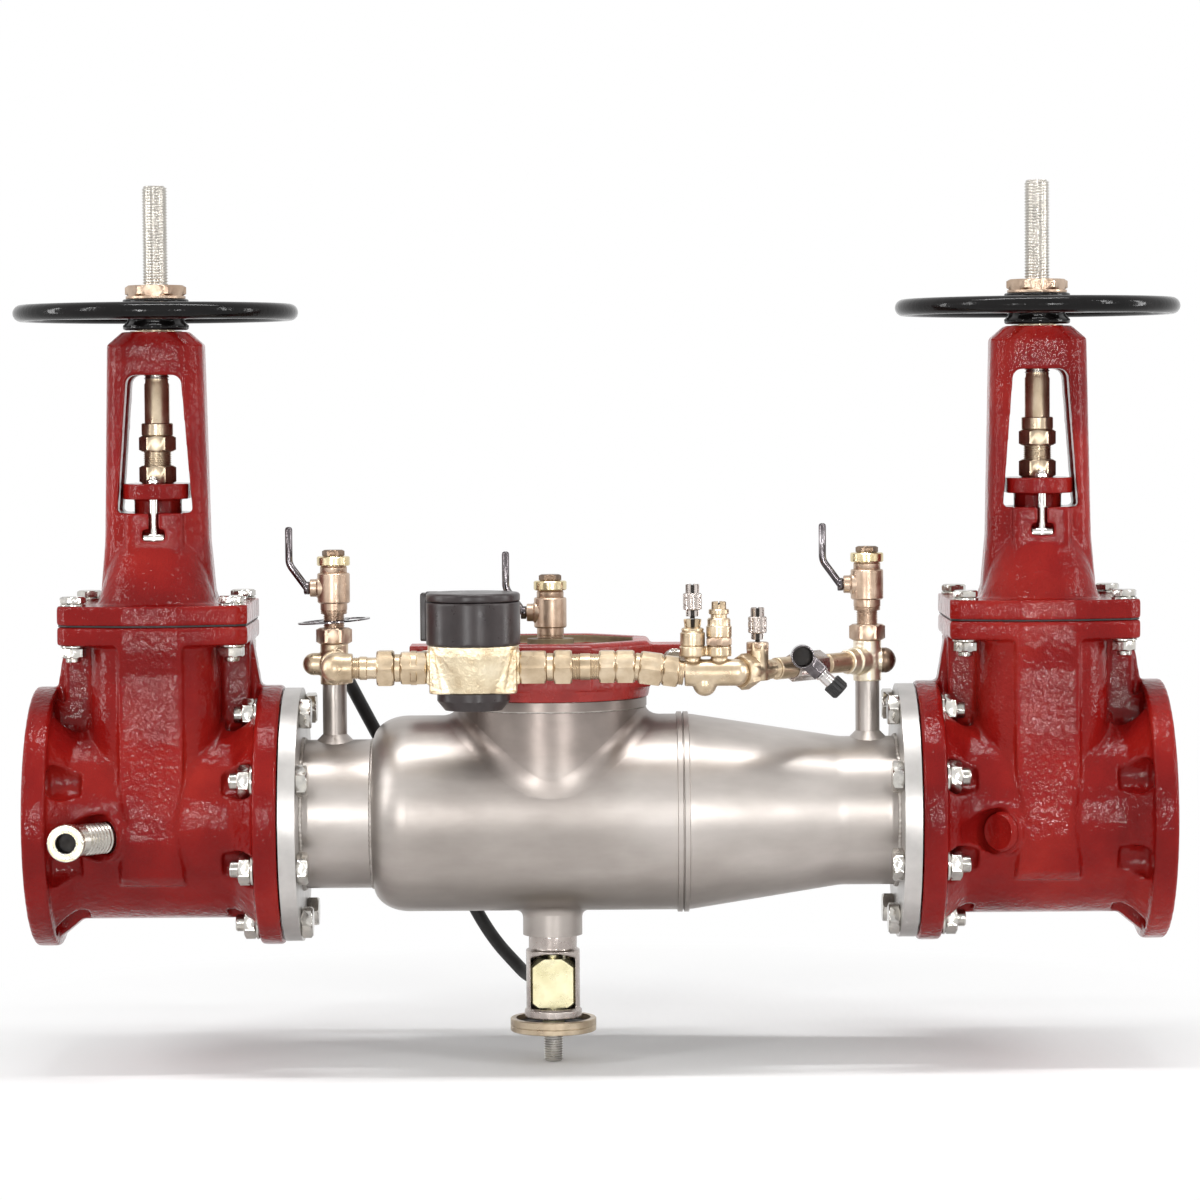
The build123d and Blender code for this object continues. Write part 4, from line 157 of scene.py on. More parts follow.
def surface(name, stops, scale=20.0, metallic=0.0, rough=(0.3, 0.45), stretch=(1, 1, 1), bumps=(),
            grain=None, specular=None):
    """Mottled surface. bumps are (scale, strength, distance); grain is (scale, stretch, stops)."""
    material, tree, main, place = shader(name)
    tone = noise(tree, place, scale, 5.0, stretch)
    colour = ramp(tree, tone, stops)
    if grain is not None:
        grain_scale, grain_stretch, grain_stops = grain
        fine = noise(tree, place, grain_scale, 3.0, grain_stretch)
        colour = blend_colour(tree, None, colour, ramp(tree, fine, grain_stops), "MULTIPLY")
    tree.links.new(colour, main.inputs["Base Color"])
    socket(main, "Metallic").default_value = metallic
    dullness = noise(tree, place, scale * 1.7, 4.0, stretch)
    tree.links.new(remap(tree, dullness, *rough), main.inputs["Roughness"])
    normal = None
    for bump_scale, strength, distance in bumps:
        height = noise(tree, place, bump_scale, 3.0)
        normal = bump(tree, height, strength, distance, normal)
    if normal is not None:
        tree.links.new(normal, main.inputs["Normal"])
    if specular is not None:
        socket(main, "Specular IOR Level").default_value = specular
    return material


CASTING_SKIN = [(38.0, 0.4, 0.004), (130.0, 0.75, 0.0016), (340.0, 0.22, 0.0006)]
RED = surface(
    "red_coating",
    [(0.3, (0.13, 0.003, 0.003)), (0.52, (0.2, 0.006, 0.005)), (0.72, (0.28, 0.014, 0.009))],
    scale=8.0, rough=(0.04, 0.1), specular=0.16, bumps=CASTING_SKIN,
)
RED_COUPLING = surface(
    "coupling_paint",
    [(0.3, (0.2, 0.01, 0.009)), (0.6, (0.3, 0.018, 0.014)), (0.8, (0.38, 0.03, 0.022))],
    scale=22.0, rough=(0.2, 0.34), specular=0.4,
    bumps=[(150.0, 0.6, 0.001), (40.0, 0.3, 0.003)],
)
STEEL = surface(
    "pickled_stainless",
    [(0.28, (0.29, 0.258, 0.235)), (0.5, (0.39, 0.352, 0.325)), (0.74, (0.53, 0.49, 0.46))],
    scale=5.0, metallic=0.85, rough=(0.3, 0.42), stretch=(0.8, 1.0, 1.3),
    grain=(60.0, (0.25, 1.0, 1.0), [(0.3, (0.9, 0.9, 0.9)), (0.7, (1, 1, 1))]),
    bumps=[(12.0, 0.3, 0.003), (420.0, 0.12, 0.0003)],
)
BLACK = surface(
    "black_enamel",
    [(0.35, (0.0022, 0.002, 0.002)), (0.7, (0.006, 0.005, 0.005))],
    scale=30.0, rough=(0.1, 0.2), specular=0.2, bumps=[(160.0, 0.3, 0.0007)],
)
BRASS = surface(
    "cast_brass",
    [(0.25, (0.38, 0.285, 0.185)), (0.5, (0.54, 0.425, 0.29)), (0.75, (0.72, 0.6, 0.445))],
    scale=45.0, metallic=0.92, rough=(0.26, 0.42),
    bumps=[(420.0, 0.35, 0.0003), (90.0, 0.2, 0.0008)],
)
BRASS_PALE = surface(
    "pale_cast_brass",
    [(0.25, (0.62, 0.52, 0.38)), (0.5, (0.78, 0.69, 0.53)), (0.75, (0.88, 0.81, 0.68))],
    scale=45.0, metallic=0.9, rough=(0.26, 0.42),
    bumps=[(420.0, 0.35, 0.0003), (90.0, 0.2, 0.0008)],
)
COCK = surface(
    "cock_bronze",
    [(0.25, (0.3, 0.2, 0.145)), (0.5, (0.46, 0.34, 0.25)), (0.75, (0.62, 0.48, 0.37))],
    scale=55.0, metallic=0.92, rough=(0.28, 0.42), bumps=[(420.0, 0.3, 0.0003)],
)
DARK_BRONZE = surface(
    "dark_bronze",
    [(0.3, (0.13, 0.085, 0.055)), (0.7, (0.27, 0.19, 0.135))],
    scale=60.0, metallic=0.9, rough=(0.26, 0.4), bumps=[(380.0, 0.3, 0.0003)],
)
BRASS_BRIGHT = surface(
    "turned_brass",
    [(0.3, (0.6, 0.48, 0.26)), (0.7, (0.82, 0.72, 0.48))],
    scale=60.0, metallic=1.0, rough=(0.18, 0.3), bumps=[(500.0, 0.15, 0.0002)],
)
GOLD_PALE = surface(
    "pale_gold_plate",
    [(0.3, (0.66, 0.6, 0.36)), (0.7, (0.84, 0.79, 0.54))],
    scale=50.0, metallic=0.85, rough=(0.22, 0.36), bumps=[(300.0, 0.2, 0.0003)],
)
NICKEL = surface(
    "nickel_finish",
    [(0.3, (0.33, 0.285, 0.26)), (0.6, (0.47, 0.42, 0.39)), (0.8, (0.6, 0.56, 0.53))],
    scale=40.0, metallic=0.92, rough=(0.2, 0.34), bumps=[(300.0, 0.2, 0.0003)],
)
BRONZE = surface(
    "bronze",
    [(0.3, (0.34, 0.26, 0.18)), (0.55, (0.48, 0.39, 0.28)), (0.75, (0.6, 0.5, 0.37))],
    scale=50.0, metallic=0.92, rough=(0.26, 0.42), bumps=[(380.0, 0.3, 0.0004)],
)
METER_BRASS = surface(
    "meter_casting",
    [(0.3, (0.58, 0.46, 0.3)), (0.5, (0.76, 0.65, 0.46)), (0.7, (0.87, 0.78, 0.6))],
    scale=38.0, metallic=0.9, rough=(0.28, 0.42),
    bumps=[(260.0, 0.9, 0.0012), (110.0, 0.7, 0.002)],
)
OLIVE = surface(
    "cover_casting",
    [(0.3, (0.13, 0.095, 0.055)), (0.7, (0.26, 0.2, 0.12))],
    scale=25.0, rough=(0.4, 0.56), specular=0.3, bumps=[(200.0, 0.5, 0.0008)],
)
ZINC = surface(
    "zinc_plate",
    [(0.3, (0.4, 0.385, 0.37)), (0.55, (0.56, 0.54, 0.5)), (0.8, (0.68, 0.65, 0.58))],
    scale=70.0, metallic=1.0, rough=(0.14, 0.28), bumps=[(260.0, 0.25, 0.0003)],
)
STEM = surface(
    "stem_steel",
    [(0.3, (0.43, 0.41, 0.375)), (0.7, (0.54, 0.515, 0.47))],
    scale=60.0, metallic=1.0, rough=(0.24, 0.3), bumps=[(300.0, 0.08, 0.0002)],
)
CHROME = surface(
    "bright_chrome",
    [(0.3, (0.5, 0.47, 0.46)), (0.7, (0.7, 0.67, 0.66))],
    scale=40.0, metallic=1.0, rough=(0.08, 0.16),
)
DARK_CHROME = surface(
    "dark_chrome",
    [(0.3, (0.075, 0.065, 0.068)), (0.55, (0.15, 0.135, 0.14)), (0.75, (0.34, 0.32, 0.33))],
    scale=55.0, metallic=1.0, rough=(0.07, 0.16),
)
# Near-black colour that paints shade: it fills slots and bores where only shade falls.
DARK = surface(
    "painted_shade_fill",
    [(0.3, (0.008, 0.006, 0.005)), (0.7, (0.022, 0.016, 0.012))],
    scale=80.0, metallic=0.2, rough=(0.3, 0.5), specular=0.25,
)
RUBBER = surface(
    "black_rubber",
    [(0.3, (0.01, 0.0095, 0.0095)), (0.7, (0.024, 0.023, 0.023))],
    scale=60.0, rough=(0.42, 0.58), specular=0.35, bumps=[(500.0, 0.3, 0.0003)],
)
PLASTIC = surface(
    "black_plastic",
    [(0.3, (0.018, 0.0125, 0.0125)), (0.7, (0.034, 0.025, 0.025))],
    scale=40.0, rough=(0.26, 0.38), specular=0.4, bumps=[(900.0, 0.25, 0.0002)],
)
POINTER = surface(
    "pointer_red",
    [(0.3, (0.5, 0.02, 0.02)), (0.7, (0.6, 0.03, 0.03))],
    scale=80.0, rough=(0.35, 0.45),
)


def paler_flanges(material, stops):
    """Gives the two flange plates of the vessel their paler dull grey."""
    tree = material.node_tree
    main = tree.nodes["Principled BSDF"]
    place = tree.nodes.new("ShaderNodeTexCoord")
    parts = tree.nodes.new("ShaderNodeSeparateXYZ")
    tree.links.new(place.outputs["Object"], parts.inputs["Vector"])
    value = parts.outputs["X"]
    plate_start = 319.4 * MM
    for operation, number in (("SUBTRACT", MID_X * MM), ("ABSOLUTE", 0.0), ("GREATER_THAN", plate_start)):
        step = tree.nodes.new("ShaderNodeMath")
        step.operation = operation
        step.inputs[1].default_value = number
        tree.links.new(value, step.inputs[0])
        value = step.outputs[0]
    under = main.inputs["Base Color"].links[0].from_socket
    pale = ramp(tree, noise(tree, place, 30.0), stops)
    tree.links.new(blend_colour(tree, value, under, pale), main.inputs["Base Color"])


def port_tint(material, stops):
    """Darker brown colour painted on the upright port of the vessel as painted shade, fading out on the
    shell.
    """
    tree = material.node_tree
    main = tree.nodes["Principled BSDF"]
    place = tree.nodes.new("ShaderNodeTexCoord")
    value = place.outputs["Object"]
    steps = (("SUBTRACT", (PORT_X * MM, 0, 0)), ("MULTIPLY", (1, 1, 0)), ("LENGTH", None))
    for operation, numbers in steps:
        step = tree.nodes.new("ShaderNodeVectorMath")
        step.operation = operation
        if numbers is not None:
            step.inputs[1].default_value = numbers
        tree.links.new(value, step.inputs[0])
        value = step.outputs["Value"] if operation == "LENGTH" else step.outputs["Vector"]
    near = remap(tree, value, 1.0, 0.0, start=0.106, end=0.132)
    parts = tree.nodes.new("ShaderNodeSeparateXYZ")
    tree.links.new(place.outputs["Object"], parts.inputs["Vector"])
    above = remap(tree, parts.outputs["Z"], 0.0, 1.0, start=0.01, end=0.075)
    both = tree.nodes.new("ShaderNodeMath")
    both.operation = "MULTIPLY"
    tree.links.new(near, both.inputs[0])
    tree.links.new(above, both.inputs[1])
    # Painted shade: these darker brown tones multiply the port's base colour.
    under = main.inputs["Base Color"].links[0].from_socket
    tint = ramp(tree, noise(tree, place, 12.0), stops)
    tree.links.new(blend_colour(tree, both.outputs[0], under, tint, "MULTIPLY"), main.inputs["Base Color"])


paler_flanges(STEEL, [(0.3, (0.44, 0.425, 0.41)), (0.7, (0.57, 0.55, 0.53))])
# Painted shade: the upright port's base colour is darkened towards a browner grey.
port_tint(STEEL, [(0.3, (0.5, 0.46, 0.45)), (0.7, (0.68, 0.64, 0.62))])
SLOT_MATERIALS = {
    "red_casting": RED, "red_coupling": RED_COUPLING, "stainless": STEEL, "black_wheel": BLACK,
    "bronze": BRONZE, "brass": BRASS, "plug_brown": OLIVE, "stem_steel": STEM, "zinc": ZINC,
    "chrome_fitting": DARK_CHROME, "wedge_iron": RED, "gasket_black": RUBBER, "diaphragm_black": RUBBER,
    "hose_black": RUBBER, "black_plastic": PLASTIC, "meter_brass": METER_BRASS, "lever_steel": DARK_CHROME,
    "hand_red": POINTER, "spring_steel": STEM,
}
SLOT_OF = {part["node"]: part["material_slot"] for part in frame["record"]["subparts"]}


# Mesh helpers; lengths are in millimetres

def link_mesh(name, mesh):
    """Object for a mesh, linked into the scene."""
    thing = bpy.data.objects.new(name, mesh)
    scene.collection.objects.link(thing)
    return thing


def dress(thing, material, sharp=32.0):
    """Material and smooth shading that keeps the sharp edges."""
    mesh = thing.data
    mesh.materials.clear()
    mesh.materials.append(material)
    mesh.polygons.foreach_set("use_smooth", [True] * len(mesh.polygons))
    mesh.set_sharp_from_angle(angle=radians(sharp))
    return thing


def stand_for(thing, name):
    """Piece that rides on the body of a CAD node and replaces it."""
    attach(thing, nodes[name]["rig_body"])
    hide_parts(name)
    return thing


def go_with(thing, name):
    """Piece that rides on the body of a CAD node beside it."""
    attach(thing, nodes[name]["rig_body"])


def applied(thing):
    """The object with its modifiers applied."""
    view = bpy.context.evaluated_depsgraph_get()
    mesh = bpy.data.meshes.new_from_object(thing.evaluated_get(view))
    thing.modifiers.clear()
    thing.data = mesh
    return thing


def cast_mesh(name, mesh, voxel, rounds, material):
    """Casting from a mesh: its edges are rounded by a fine remesh and smoothing."""
    thing = link_mesh(name, mesh)
    remesh = thing.modifiers.new("remesh", "REMESH")
    remesh.mode = "VOXEL"
    remesh.voxel_size = voxel * MM
    smooth = thing.modifiers.new("smooth", "SMOOTH")
    smooth.iterations = rounds
    return dress(applied(thing), material, 80.0)


def cast(node, voxel, rounds, material):
    """Casting that replaces a CAD node."""
    return stand_for(cast_mesh(node + "_cast", nodes[node].data.copy(), voxel, rounds, material), node)


def skin(made, rings, looped=False):
    """Faces from each ring to the next. The ends are closed, unless the last ring joins the first."""
    following = rings[1:] + rings[:1] if looped else rings[1:]
    for lower, upper in zip(rings, following):
        for i in range(len(lower)):
            j = (i + 1) % len(lower)
            made.faces.new((lower[i], lower[j], upper[j], upper[i]))
    if not looped:
        made.faces.new(list(reversed(rings[0])))
        made.faces.new(rings[-1])


def ring_points(steps):
    """Angles of the points of a ring."""
    return [2 * pi * i / steps for i in range(steps)]


def axes_for(axis, corner):
    """Unit vectors along an axis, towards the corner direction and across."""
    along = Vector(axis).normalized()
    side = Vector(corner)
    side = (side - along * side.dot(along)).normalized()
    return along, side, along.cross(side)


def lathe(shapes, origin, axis, corner=TO_VIEWER, steps=48):
    """Turned or hexagonal solids in one mesh.

    shapes is a list of profiles; a profile is a list of (distance, radius) or (distance, radius, flats),
    where flats cuts the round down to a hexagon with a corner towards the corner direction."""
    along, side, across = axes_for(axis, corner)
    origin = Vector(origin)
    made = bmesh.new()
    for profile in shapes:
        rings = []
        for row in profile:
            distance, radius = row[0], row[1]
            flats = row[2] if len(row) > 2 else None
            ring = []
            for turn in ring_points(steps):
                reach = radius
                if flats:
                    slant = (turn % (pi / 3)) - pi / 6
                    reach = min(radius, flats / 2 / cos(slant))
                point = origin + along * distance + (side * cos(turn) + across * sin(turn)) * reach
                ring.append(made.verts.new(point * MM))
            rings.append(ring)
        skin(made, rings)
    return made


def piece_from(made, name, material, sharp=32.0):
    """Object from a bmesh."""
    mesh = bpy.data.meshes.new(name)
    bmesh.ops.recalc_face_normals(made, faces=made.faces)
    made.to_mesh(mesh)
    made.free()
    return dress(link_mesh(name, mesh), material, sharp)


def join(made_list):
    """One bmesh from several."""
    total = bmesh.new()
    for made in made_list:
        mesh = bpy.data.meshes.new("part")
        made.to_mesh(mesh)
        made.free()
        total.from_mesh(mesh)
        bpy.data.meshes.remove(mesh)
    return total


def hex_rows(start, end, flats, chamfer=1.0):
    """Profile rows of a hexagon with its corners turned off at both ends."""
    corner = flats / sqrt(3) + 0.2
    drop = (corner - flats / 2) * chamfer
    low = corner - drop - 0.3
    lift = drop * 0.6 + 0.2
    return [
        (start, low - 0.4, flats), (start + 0.25, low, flats), (start + lift, corner, flats),
        (end - lift, corner, flats), (end - 0.25, low, flats), (end, low - 0.4, flats),
    ]


def round_rows(start, end, radius, edge=0.8):
    """Profile rows of a bar with softened ends."""
    return [(start, radius - edge), (start + edge, radius), (end - edge, radius), (end, radius - edge)]


def thread_rows(start, end, radius, pitch, depth):
    """Profile rows of a grooved bar that stands for a thread."""
    rows = [(start, radius - depth)]
    count = max(1, int(round((end - start) / pitch)))
    step = (end - start) / count
    for i in range(count):
        s = start + step * i
        rows += [(s + step * 0.15, radius - depth), (s + step * 0.4, radius), (s + step * 0.6, radius),
                 (s + step * 0.85, radius - depth)]
    rows.append((end, radius - depth))
    return rows


def screw(x, bottom, top, radius, pitch, depth, steps=48, per_turn=10):
    """Upright threaded bar with a true helix and a chamfered top."""
    made = bmesh.new()
    levels = int(ceil((top - bottom) / pitch * per_turn))
    rings = []
    for k in range(levels + 1):
        z = bottom + (top - bottom) * k / levels
        end_taper = min(1.0, (top - z) / 2.5)
        ring = []
        for i, turn in enumerate(ring_points(steps)):
            phase = (z / pitch - i / steps) % 1.0
            cut = max(0.0, min(1.0, (abs(phase - 0.5) * 4 - 0.55) * 1.8))
            reach = radius - depth * cut - (1.0 - end_taper) * 2.2
            ring.append(made.verts.new(Vector((x + reach * cos(turn), reach * sin(turn), z)) * MM))
        rings.append(ring)
    skin(made, rings)
    return made


# CAD nodes that stay: procedural material and softened edges

def soften(thing, width):
    """Small bevel and clean normals on a CAD node that stays."""
    bevel = thing.modifiers.new("edges", "BEVEL")
    bevel.width = width * MM
    bevel.segments = 3
    bevel.limit_method = "ANGLE"
    bevel.angle_limit = radians(35.0)
    bevel.harden_normals = True
    bevel.use_clamp_overlap = True


OWN_MATERIAL = {"relief_body": NICKEL, "relief_poppet": GOLD_PALE, "hose_fittings": COCK}
for node_name, node in nodes.items():
    node.data.materials.clear()
    node.data.materials.append(OWN_MATERIAL.get(node_name, SLOT_MATERIALS[SLOT_OF[node_name]]))
EDGE_WIDTHS = {
    "body_shell": 1.0, "body_inlet_pipe": 0.8, "body_reducer": 0.8, "cover_plate": 1.2,
    "meter_bottom_plate": 1.5, "hose_fittings": 0.5, "tag_ring": 0.8,
}
for node_name, width in EDGE_WIDTHS.items():
    soften(nodes[node_name], width)


# Castings of the two valves

for side in STEM_X:
    cast(side + "_valve_body", 2.4, 5, RED)
    cast(side + "_bonnet", 2.0, 5, RED)
    cast(side + "_handwheel", 1.7, 6, BLACK)


# Stems with their threads

STEM_RADIUS = 13.4
STEM_TOP_Z = 676.0
THREAD_BOTTOM_Z = 469.0
THREAD_PITCH = 3.2
THREAD_DEPTH = 1.1
SHANK = [(152.0, 12.6), (153.0, STEM_RADIUS), (464.0, STEM_RADIUS), (466.0, 12.4), (470.0, 12.4)]
for side, x in STEM_X.items():
    thread = screw(x, THREAD_BOTTOM_Z, STEM_TOP_Z, STEM_RADIUS, THREAD_PITCH, THREAD_DEPTH)
    stand_for(piece_from(thread, side + "_stem_thread", STEM, 180.0), side + "_stem")
    stand_for(piece_from(lathe([SHANK], (x, 0, 0), UP), side + "_stem_shank", BRASS), side + "_stem")


# Bolts of the flanges, bonnets, coupling and glands

def bolt_set(name, node, bolts, material=ZINC):
    """One piece with all the bolts of a node; bolts are (profiles, origin, axis, corner)."""
    made = join([lathe(profiles, origin, axis, corner, 36) for profiles, origin, axis, corner in bolts])
    return stand_for(piece_from(made, name, material), node)


INNER_JOINTS = ((266.7, 1), (945.3, -1))
PLATE_THICKNESS = 19.6
BOLT_CIRCLE_RADIUS = 120.65
flange_bolts = []
for joint_x, way in INNER_JOINTS:
    for i in range(8):
        turn = pi / 4 * (i + 0.5)
        y, z = BOLT_CIRCLE_RADIUS * sin(turn), BOLT_CIRCLE_RADIUS * cos(turn)
        origin = (joint_x + way * PLATE_THICKNESS, y, z)
        head = [hex_rows(-12.5, 0, 30.0)]
        end = [thread_rows(44.0, 69.0, 9.5, 2.0, 0.7) + [(70.0, 8.0)]]
        nut = [round_rows(45.0, 47.6, 17.6, 0.4), hex_rows(47.6, 61.0, 30.0)]
        flange_bolts.append((head + end, origin, (-way, 0, 0), (0, y, z)))
        flange_bolts.append((nut, origin, (-way, 0, 0), (0, 1, 0.4)))
bolt_set("flange_bolt_set", "flange_bolts", flange_bolts)

BONNET_BOLT_X = 84
BONNET_BOLT_Y = 71
HEAD_TURN = 0.26
NUT_TURN = 0.35
bonnet_bolts = []
for x in STEM_X.values():
    for bolt_x in (-BONNET_BOLT_X, BONNET_BOLT_X):
        for bolt_y in (-BONNET_BOLT_Y, BONNET_BOLT_Y):
            origin = (x + bolt_x, bolt_y, 0)
            head = [round_rows(230.0, 232.0, 13.6, 0.3), hex_rows(232.0, 240.0, 24.0)]
            nut = [round_rows(186.0, 188.0, 13.6, 0.3), hex_rows(175.0, 186.0, 24.0)]
            end = [[(170.0, 6.8)] + thread_rows(170.8, 187.0, 8.0, 2.0, 0.6)]
            bonnet_bolts.append((head, origin, UP, (cos(HEAD_TURN), sin(HEAD_TURN), 0)))
            bonnet_bolts.append((nut + end, origin, UP, (cos(NUT_TURN), sin(NUT_TURN), 0)))
bolt_set("bonnet_bolt_set", "bonnet_bolts", bonnet_bolts)

COUPLING_BOLT_X = 133
COUPLING_BOLT_Z = 164
coupling_bolts = []
for bolt_x in (-COUPLING_BOLT_X, COUPLING_BOLT_X):
    origin = (PORT_X + bolt_x, 0, COUPLING_BOLT_Z)
    head = [round_rows(-26.0, -24.0, 13.6, 0.3), hex_rows(-36.0, -26.0, 24.0)]
    nut = [round_rows(24.0, 26.0, 13.6, 0.3), hex_rows(26.0, 36.0, 24.0)]
    end = [thread_rows(25.0, 39.0, 8.0, 2.0, 0.6) + [(40.0, 6.8)]]
    coupling_bolts.append((head + nut + end, origin, (0, 1, 0), ALONG))
bolt_set("coupling_bolt_set", "coupling_bolts", coupling_bolts)

GLAND_BOLT_Y = 45
GLAND_TOP_Z = 358.0
SLOT_MIDDLE_Z = 300.2
gland_bolts = []
for x in STEM_X.values():
    for bolt_y in (-GLAND_BOLT_Y, GLAND_BOLT_Y):
        nut = [hex_rows(GLAND_TOP_Z, 363.0, 13.0)]
        head = [round_rows(297.2, 303.3, 5.4, 0.4)]
        shank = [[(300.0, 4.5), (341.5, 4.5)] + thread_rows(342.0, 365.4, 4.5, 1.5, 0.4) + [(366.0, 3.6)]]
        gland_bolts.append((nut + shank + head, (x, bolt_y, 0), UP, ALONG))
        plate = [[(-11.0, 5.0), (-10.6, 5.4), (10.6, 5.4), (11.0, 5.0)]]
        gland_bolts.append((plate, (x, bolt_y, SLOT_MIDDLE_Z), ALONG, UP))
bolt_set("gland_bolt_set", "gland_bolts", gland_bolts)


# Brass nuts on the stems

packing = []
for x in STEM_X.values():
    bush = [hex_rows(GLAND_TOP_Z, 377.0, 34.5), thread_rows(376.5, 392.5, 14.9, 2.2, 0.8)]
    nut = [hex_rows(392.0, 409.0, 34.5), round_rows(409.0, 422.5, 16.9, 1.0)]
    packing.append((bush + nut, (x, 0, 0), UP, ALONG))
bolt_set("packing_nut_set", "packing_nuts", packing, BRONZE)

WHEEL_NUT = [round_rows(555.5, 558.5, 32.0, 0.4), hex_rows(558.5, 570.0, 57.0, 0.7)]
for side, x in STEM_X.items():
    wheel_nut = lathe(WHEEL_NUT, (x, 0, 0), UP, ALONG, 72)
    stand_for(piece_from(wheel_nut, side + "_wheel_nut_turned", COCK), side + "_wheel_nut")


# Bypass line: cast elbow and tee, turned and hexagonal fittings

def islands(mesh):
    """Connected pieces of a mesh, each as a list of vertex indices."""
    parent = list(range(len(mesh.vertices)))

    def root(i):
        while parent[i] != i:
            parent[i] = parent[parent[i]]
            i = parent[i]
        return i

    for edge in mesh.edges:
        a, b = root(edge.vertices[0]), root(edge.vertices[1])
        parent[a] = b
    groups = {}
    for i in range(len(mesh.vertices)):
        groups.setdefault(root(i), []).append(i)
    return list(groups.values())


def pick(node, wanted):
    """Mesh with only those solids of a CAD node that have their middle near one of the wanted points."""
    source = nodes[node].data
    keep = bmesh.new()
    keep.from_mesh(source)
    bmesh.ops.remove_doubles(keep, verts=keep.verts, dist=1e-6)
    merged = bpy.data.meshes.new("merged")
    keep.to_mesh(merged)
    keep.free()
    chosen = set()
    for group in islands(merged):
        low = Vector([min(merged.vertices[i].co[k] for i in group) for k in range(3)]) / MM
        high = Vector([max(merged.vertices[i].co[k] for i in group) for k in range(3)]) / MM
        middle = (low + high) / 2
        if any((middle - Vector(point)).length < 12 for point in wanted):
            chosen.update(group)
    made = bmesh.new()
    made.from_mesh(merged)
    made.verts.ensure_lookup_table()
    bmesh.ops.delete(made, geom=[v for v in made.verts if v.index not in chosen], context="VERTS")
    out = bpy.data.meshes.new("picked")
    made.to_mesh(out)
    made.free()
    return out


DEVICE_Z = 160.0
LINE = Vector((MID_X, BYPASS_Y, LINE_Z))
DEVICE_IN = Vector((MID_X + 89.0, BYPASS_Y, DEVICE_Z))
DEVICE_OUT = Vector((MID_X + 143.0, BYPASS_Y, DEVICE_Z))
TEE = Vector((RISER_OUT_X, 0.0, RISER_TOP_Z))
ANGLED = (TEE - DEVICE_OUT).normalized()
elbow = pick("bypass_line", [(MID_X - 265, -140, LINE_Z)])
cock_tee = pick("bypass_line", [(DEVICE_OUT + ANGLED * 34)])
stand_for(cast_mesh("bypass_elbow", elbow, 0.9, 4, BRASS), "bypass_line")
stand_for(cast_mesh("line_cock_tee", cock_tee, 0.9, 3, BRASS), "bypass_line")

straight = [
    thread_rows(-257.0, -249.0, 11.4, 1.8, 0.7) + [(-248.0, 11.2), (-231.0, 11.2)],
    round_rows(-249.0, -241.0, 12.2, 0.6),
    hex_rows(-231.0, -213.0, 36.0),
    [(-213.5, 13.0), (-212.0, 14.5), (-207.0, 14.5), (-205.5, 13.2)],
    hex_rows(-206.0, -179.0, 33.0, 0.9),
    round_rows(-196.0, -189.0, 17.9, 0.8),
    hex_rows(-82.0, -55.0, 33.0, 0.9),
    [(-55.5, 13.0), (-54.0, 14.5), (-48.0, 14.5), (-46.5, 13.2)],
    hex_rows(-47.0, -28.0, 34.0),
    [(-28.5, 13.2)] + thread_rows(-28.0, -20.0, 13.6, 2.0, 0.7) + [(-19.5, 13.9), (-9.0, 13.9)]
    + thread_rows(-8.5, 0.5, 13.6, 2.0, 0.7),
    hex_rows(0.0, 17.0, 33.0),
    hex_rows(17.6, 37.0, 33.0),
    [(16.5, 14.0), (18.5, 14.0)],
]
sloped_start = LINE + Vector((37.0, 0, 0))
sloped = [
    [(-1.0, 13.0), (0.5, 14.3), (4.6, 14.3), (6.0, 13.0)],
    hex_rows(5.2, 28.9, 33.0),
    [(28.0, 13.5), (31.0, 13.5)],
    hex_rows(29.9, 46.2, 31.0),
    [(45.5, 12.5)] + thread_rows(46.2, 52.0, 13.4, 1.8, 0.6),
]
leaning = [
    hex_rows(6.0, 21.0, 33.0),
    [(46.0, 9.6), (47.5, 10.2), (54.0, 10.2)] + thread_rows(54.0, 61.0, 10.2, 1.6, 0.5),
    round_rows(61.0, 86.5, 11.6, 0.8),
    [(134.0, 10.2)] + thread_rows(134.3, 142.0, 10.8, 1.8, 0.6) + [(142.6, 10.8), (176.0, 10.8)],
]
turned = join([
    lathe(straight, LINE, ALONG),
    lathe(sloped, sloped_start, DEVICE_IN - sloped_start),
    lathe(leaning, DEVICE_OUT, ANGLED, UP),
])
elbow_end = Vector((MID_X - 273.0, BYPASS_Y, LINE_Z))
toward_cross = Vector((RISER_IN_X, 0, RISER_TOP_Z)) - elbow_end
riser_run = [[(24.0, 10.6)] + thread_rows(24.2, 31.0, 11.2, 1.8, 0.6) + [(31.5, 11.2), (121.0, 11.2)]
             + thread_rows(121.5, 128.4, 11.2, 1.8, 0.6)]
turned = join([turned, lathe(riser_run, elbow_end, toward_cross, UP, 40)])
stand_for(piece_from(turned, "bypass_fittings", BRASS), "bypass_line")
petcock_seat = lathe([hex_rows(86.0, 134.0, 27.0)], DEVICE_OUT, ANGLED, UP)
stand_for(piece_from(petcock_seat, "petcock_coupling", NICKEL), "bypass_line")

for node_name, voxel, rounds, material in (
    ("bypass_cross", 0.9, 5, BRASS),
    ("bypass_tee", 0.9, 5, BRASS_PALE),
    ("device_body", 0.9, 4, BRASS),
    ("meter_register", 1.1, 7, PLASTIC),
    ("meter_lid", 1.0, 6, PLASTIC),
    ("petcock_body", 0.7, 3, DARK_CHROME),
    ("relief_body", 0.9, 3, NICKEL),
):
    cast(node_name, voxel, rounds, material)
cast("gland_flanges", 1.3, 4, RED)
PLUG_DOME = [(-3.0, 12.9), (-2.4, 13.5), (2.0, 13.6), (5.0, 12.6), (8.2, 10.2), (10.8, 6.6), (12.4, 2.2)]
end_plug = lathe([PLUG_DOME], (MID_X + 307.4, 0, RISER_TOP_Z), ALONG)
go_with(piece_from(end_plug, "tee_end_plug", DARK_BRONZE, 50.0), "bypass_tee")


# Meter casting with the slanting steps on its front

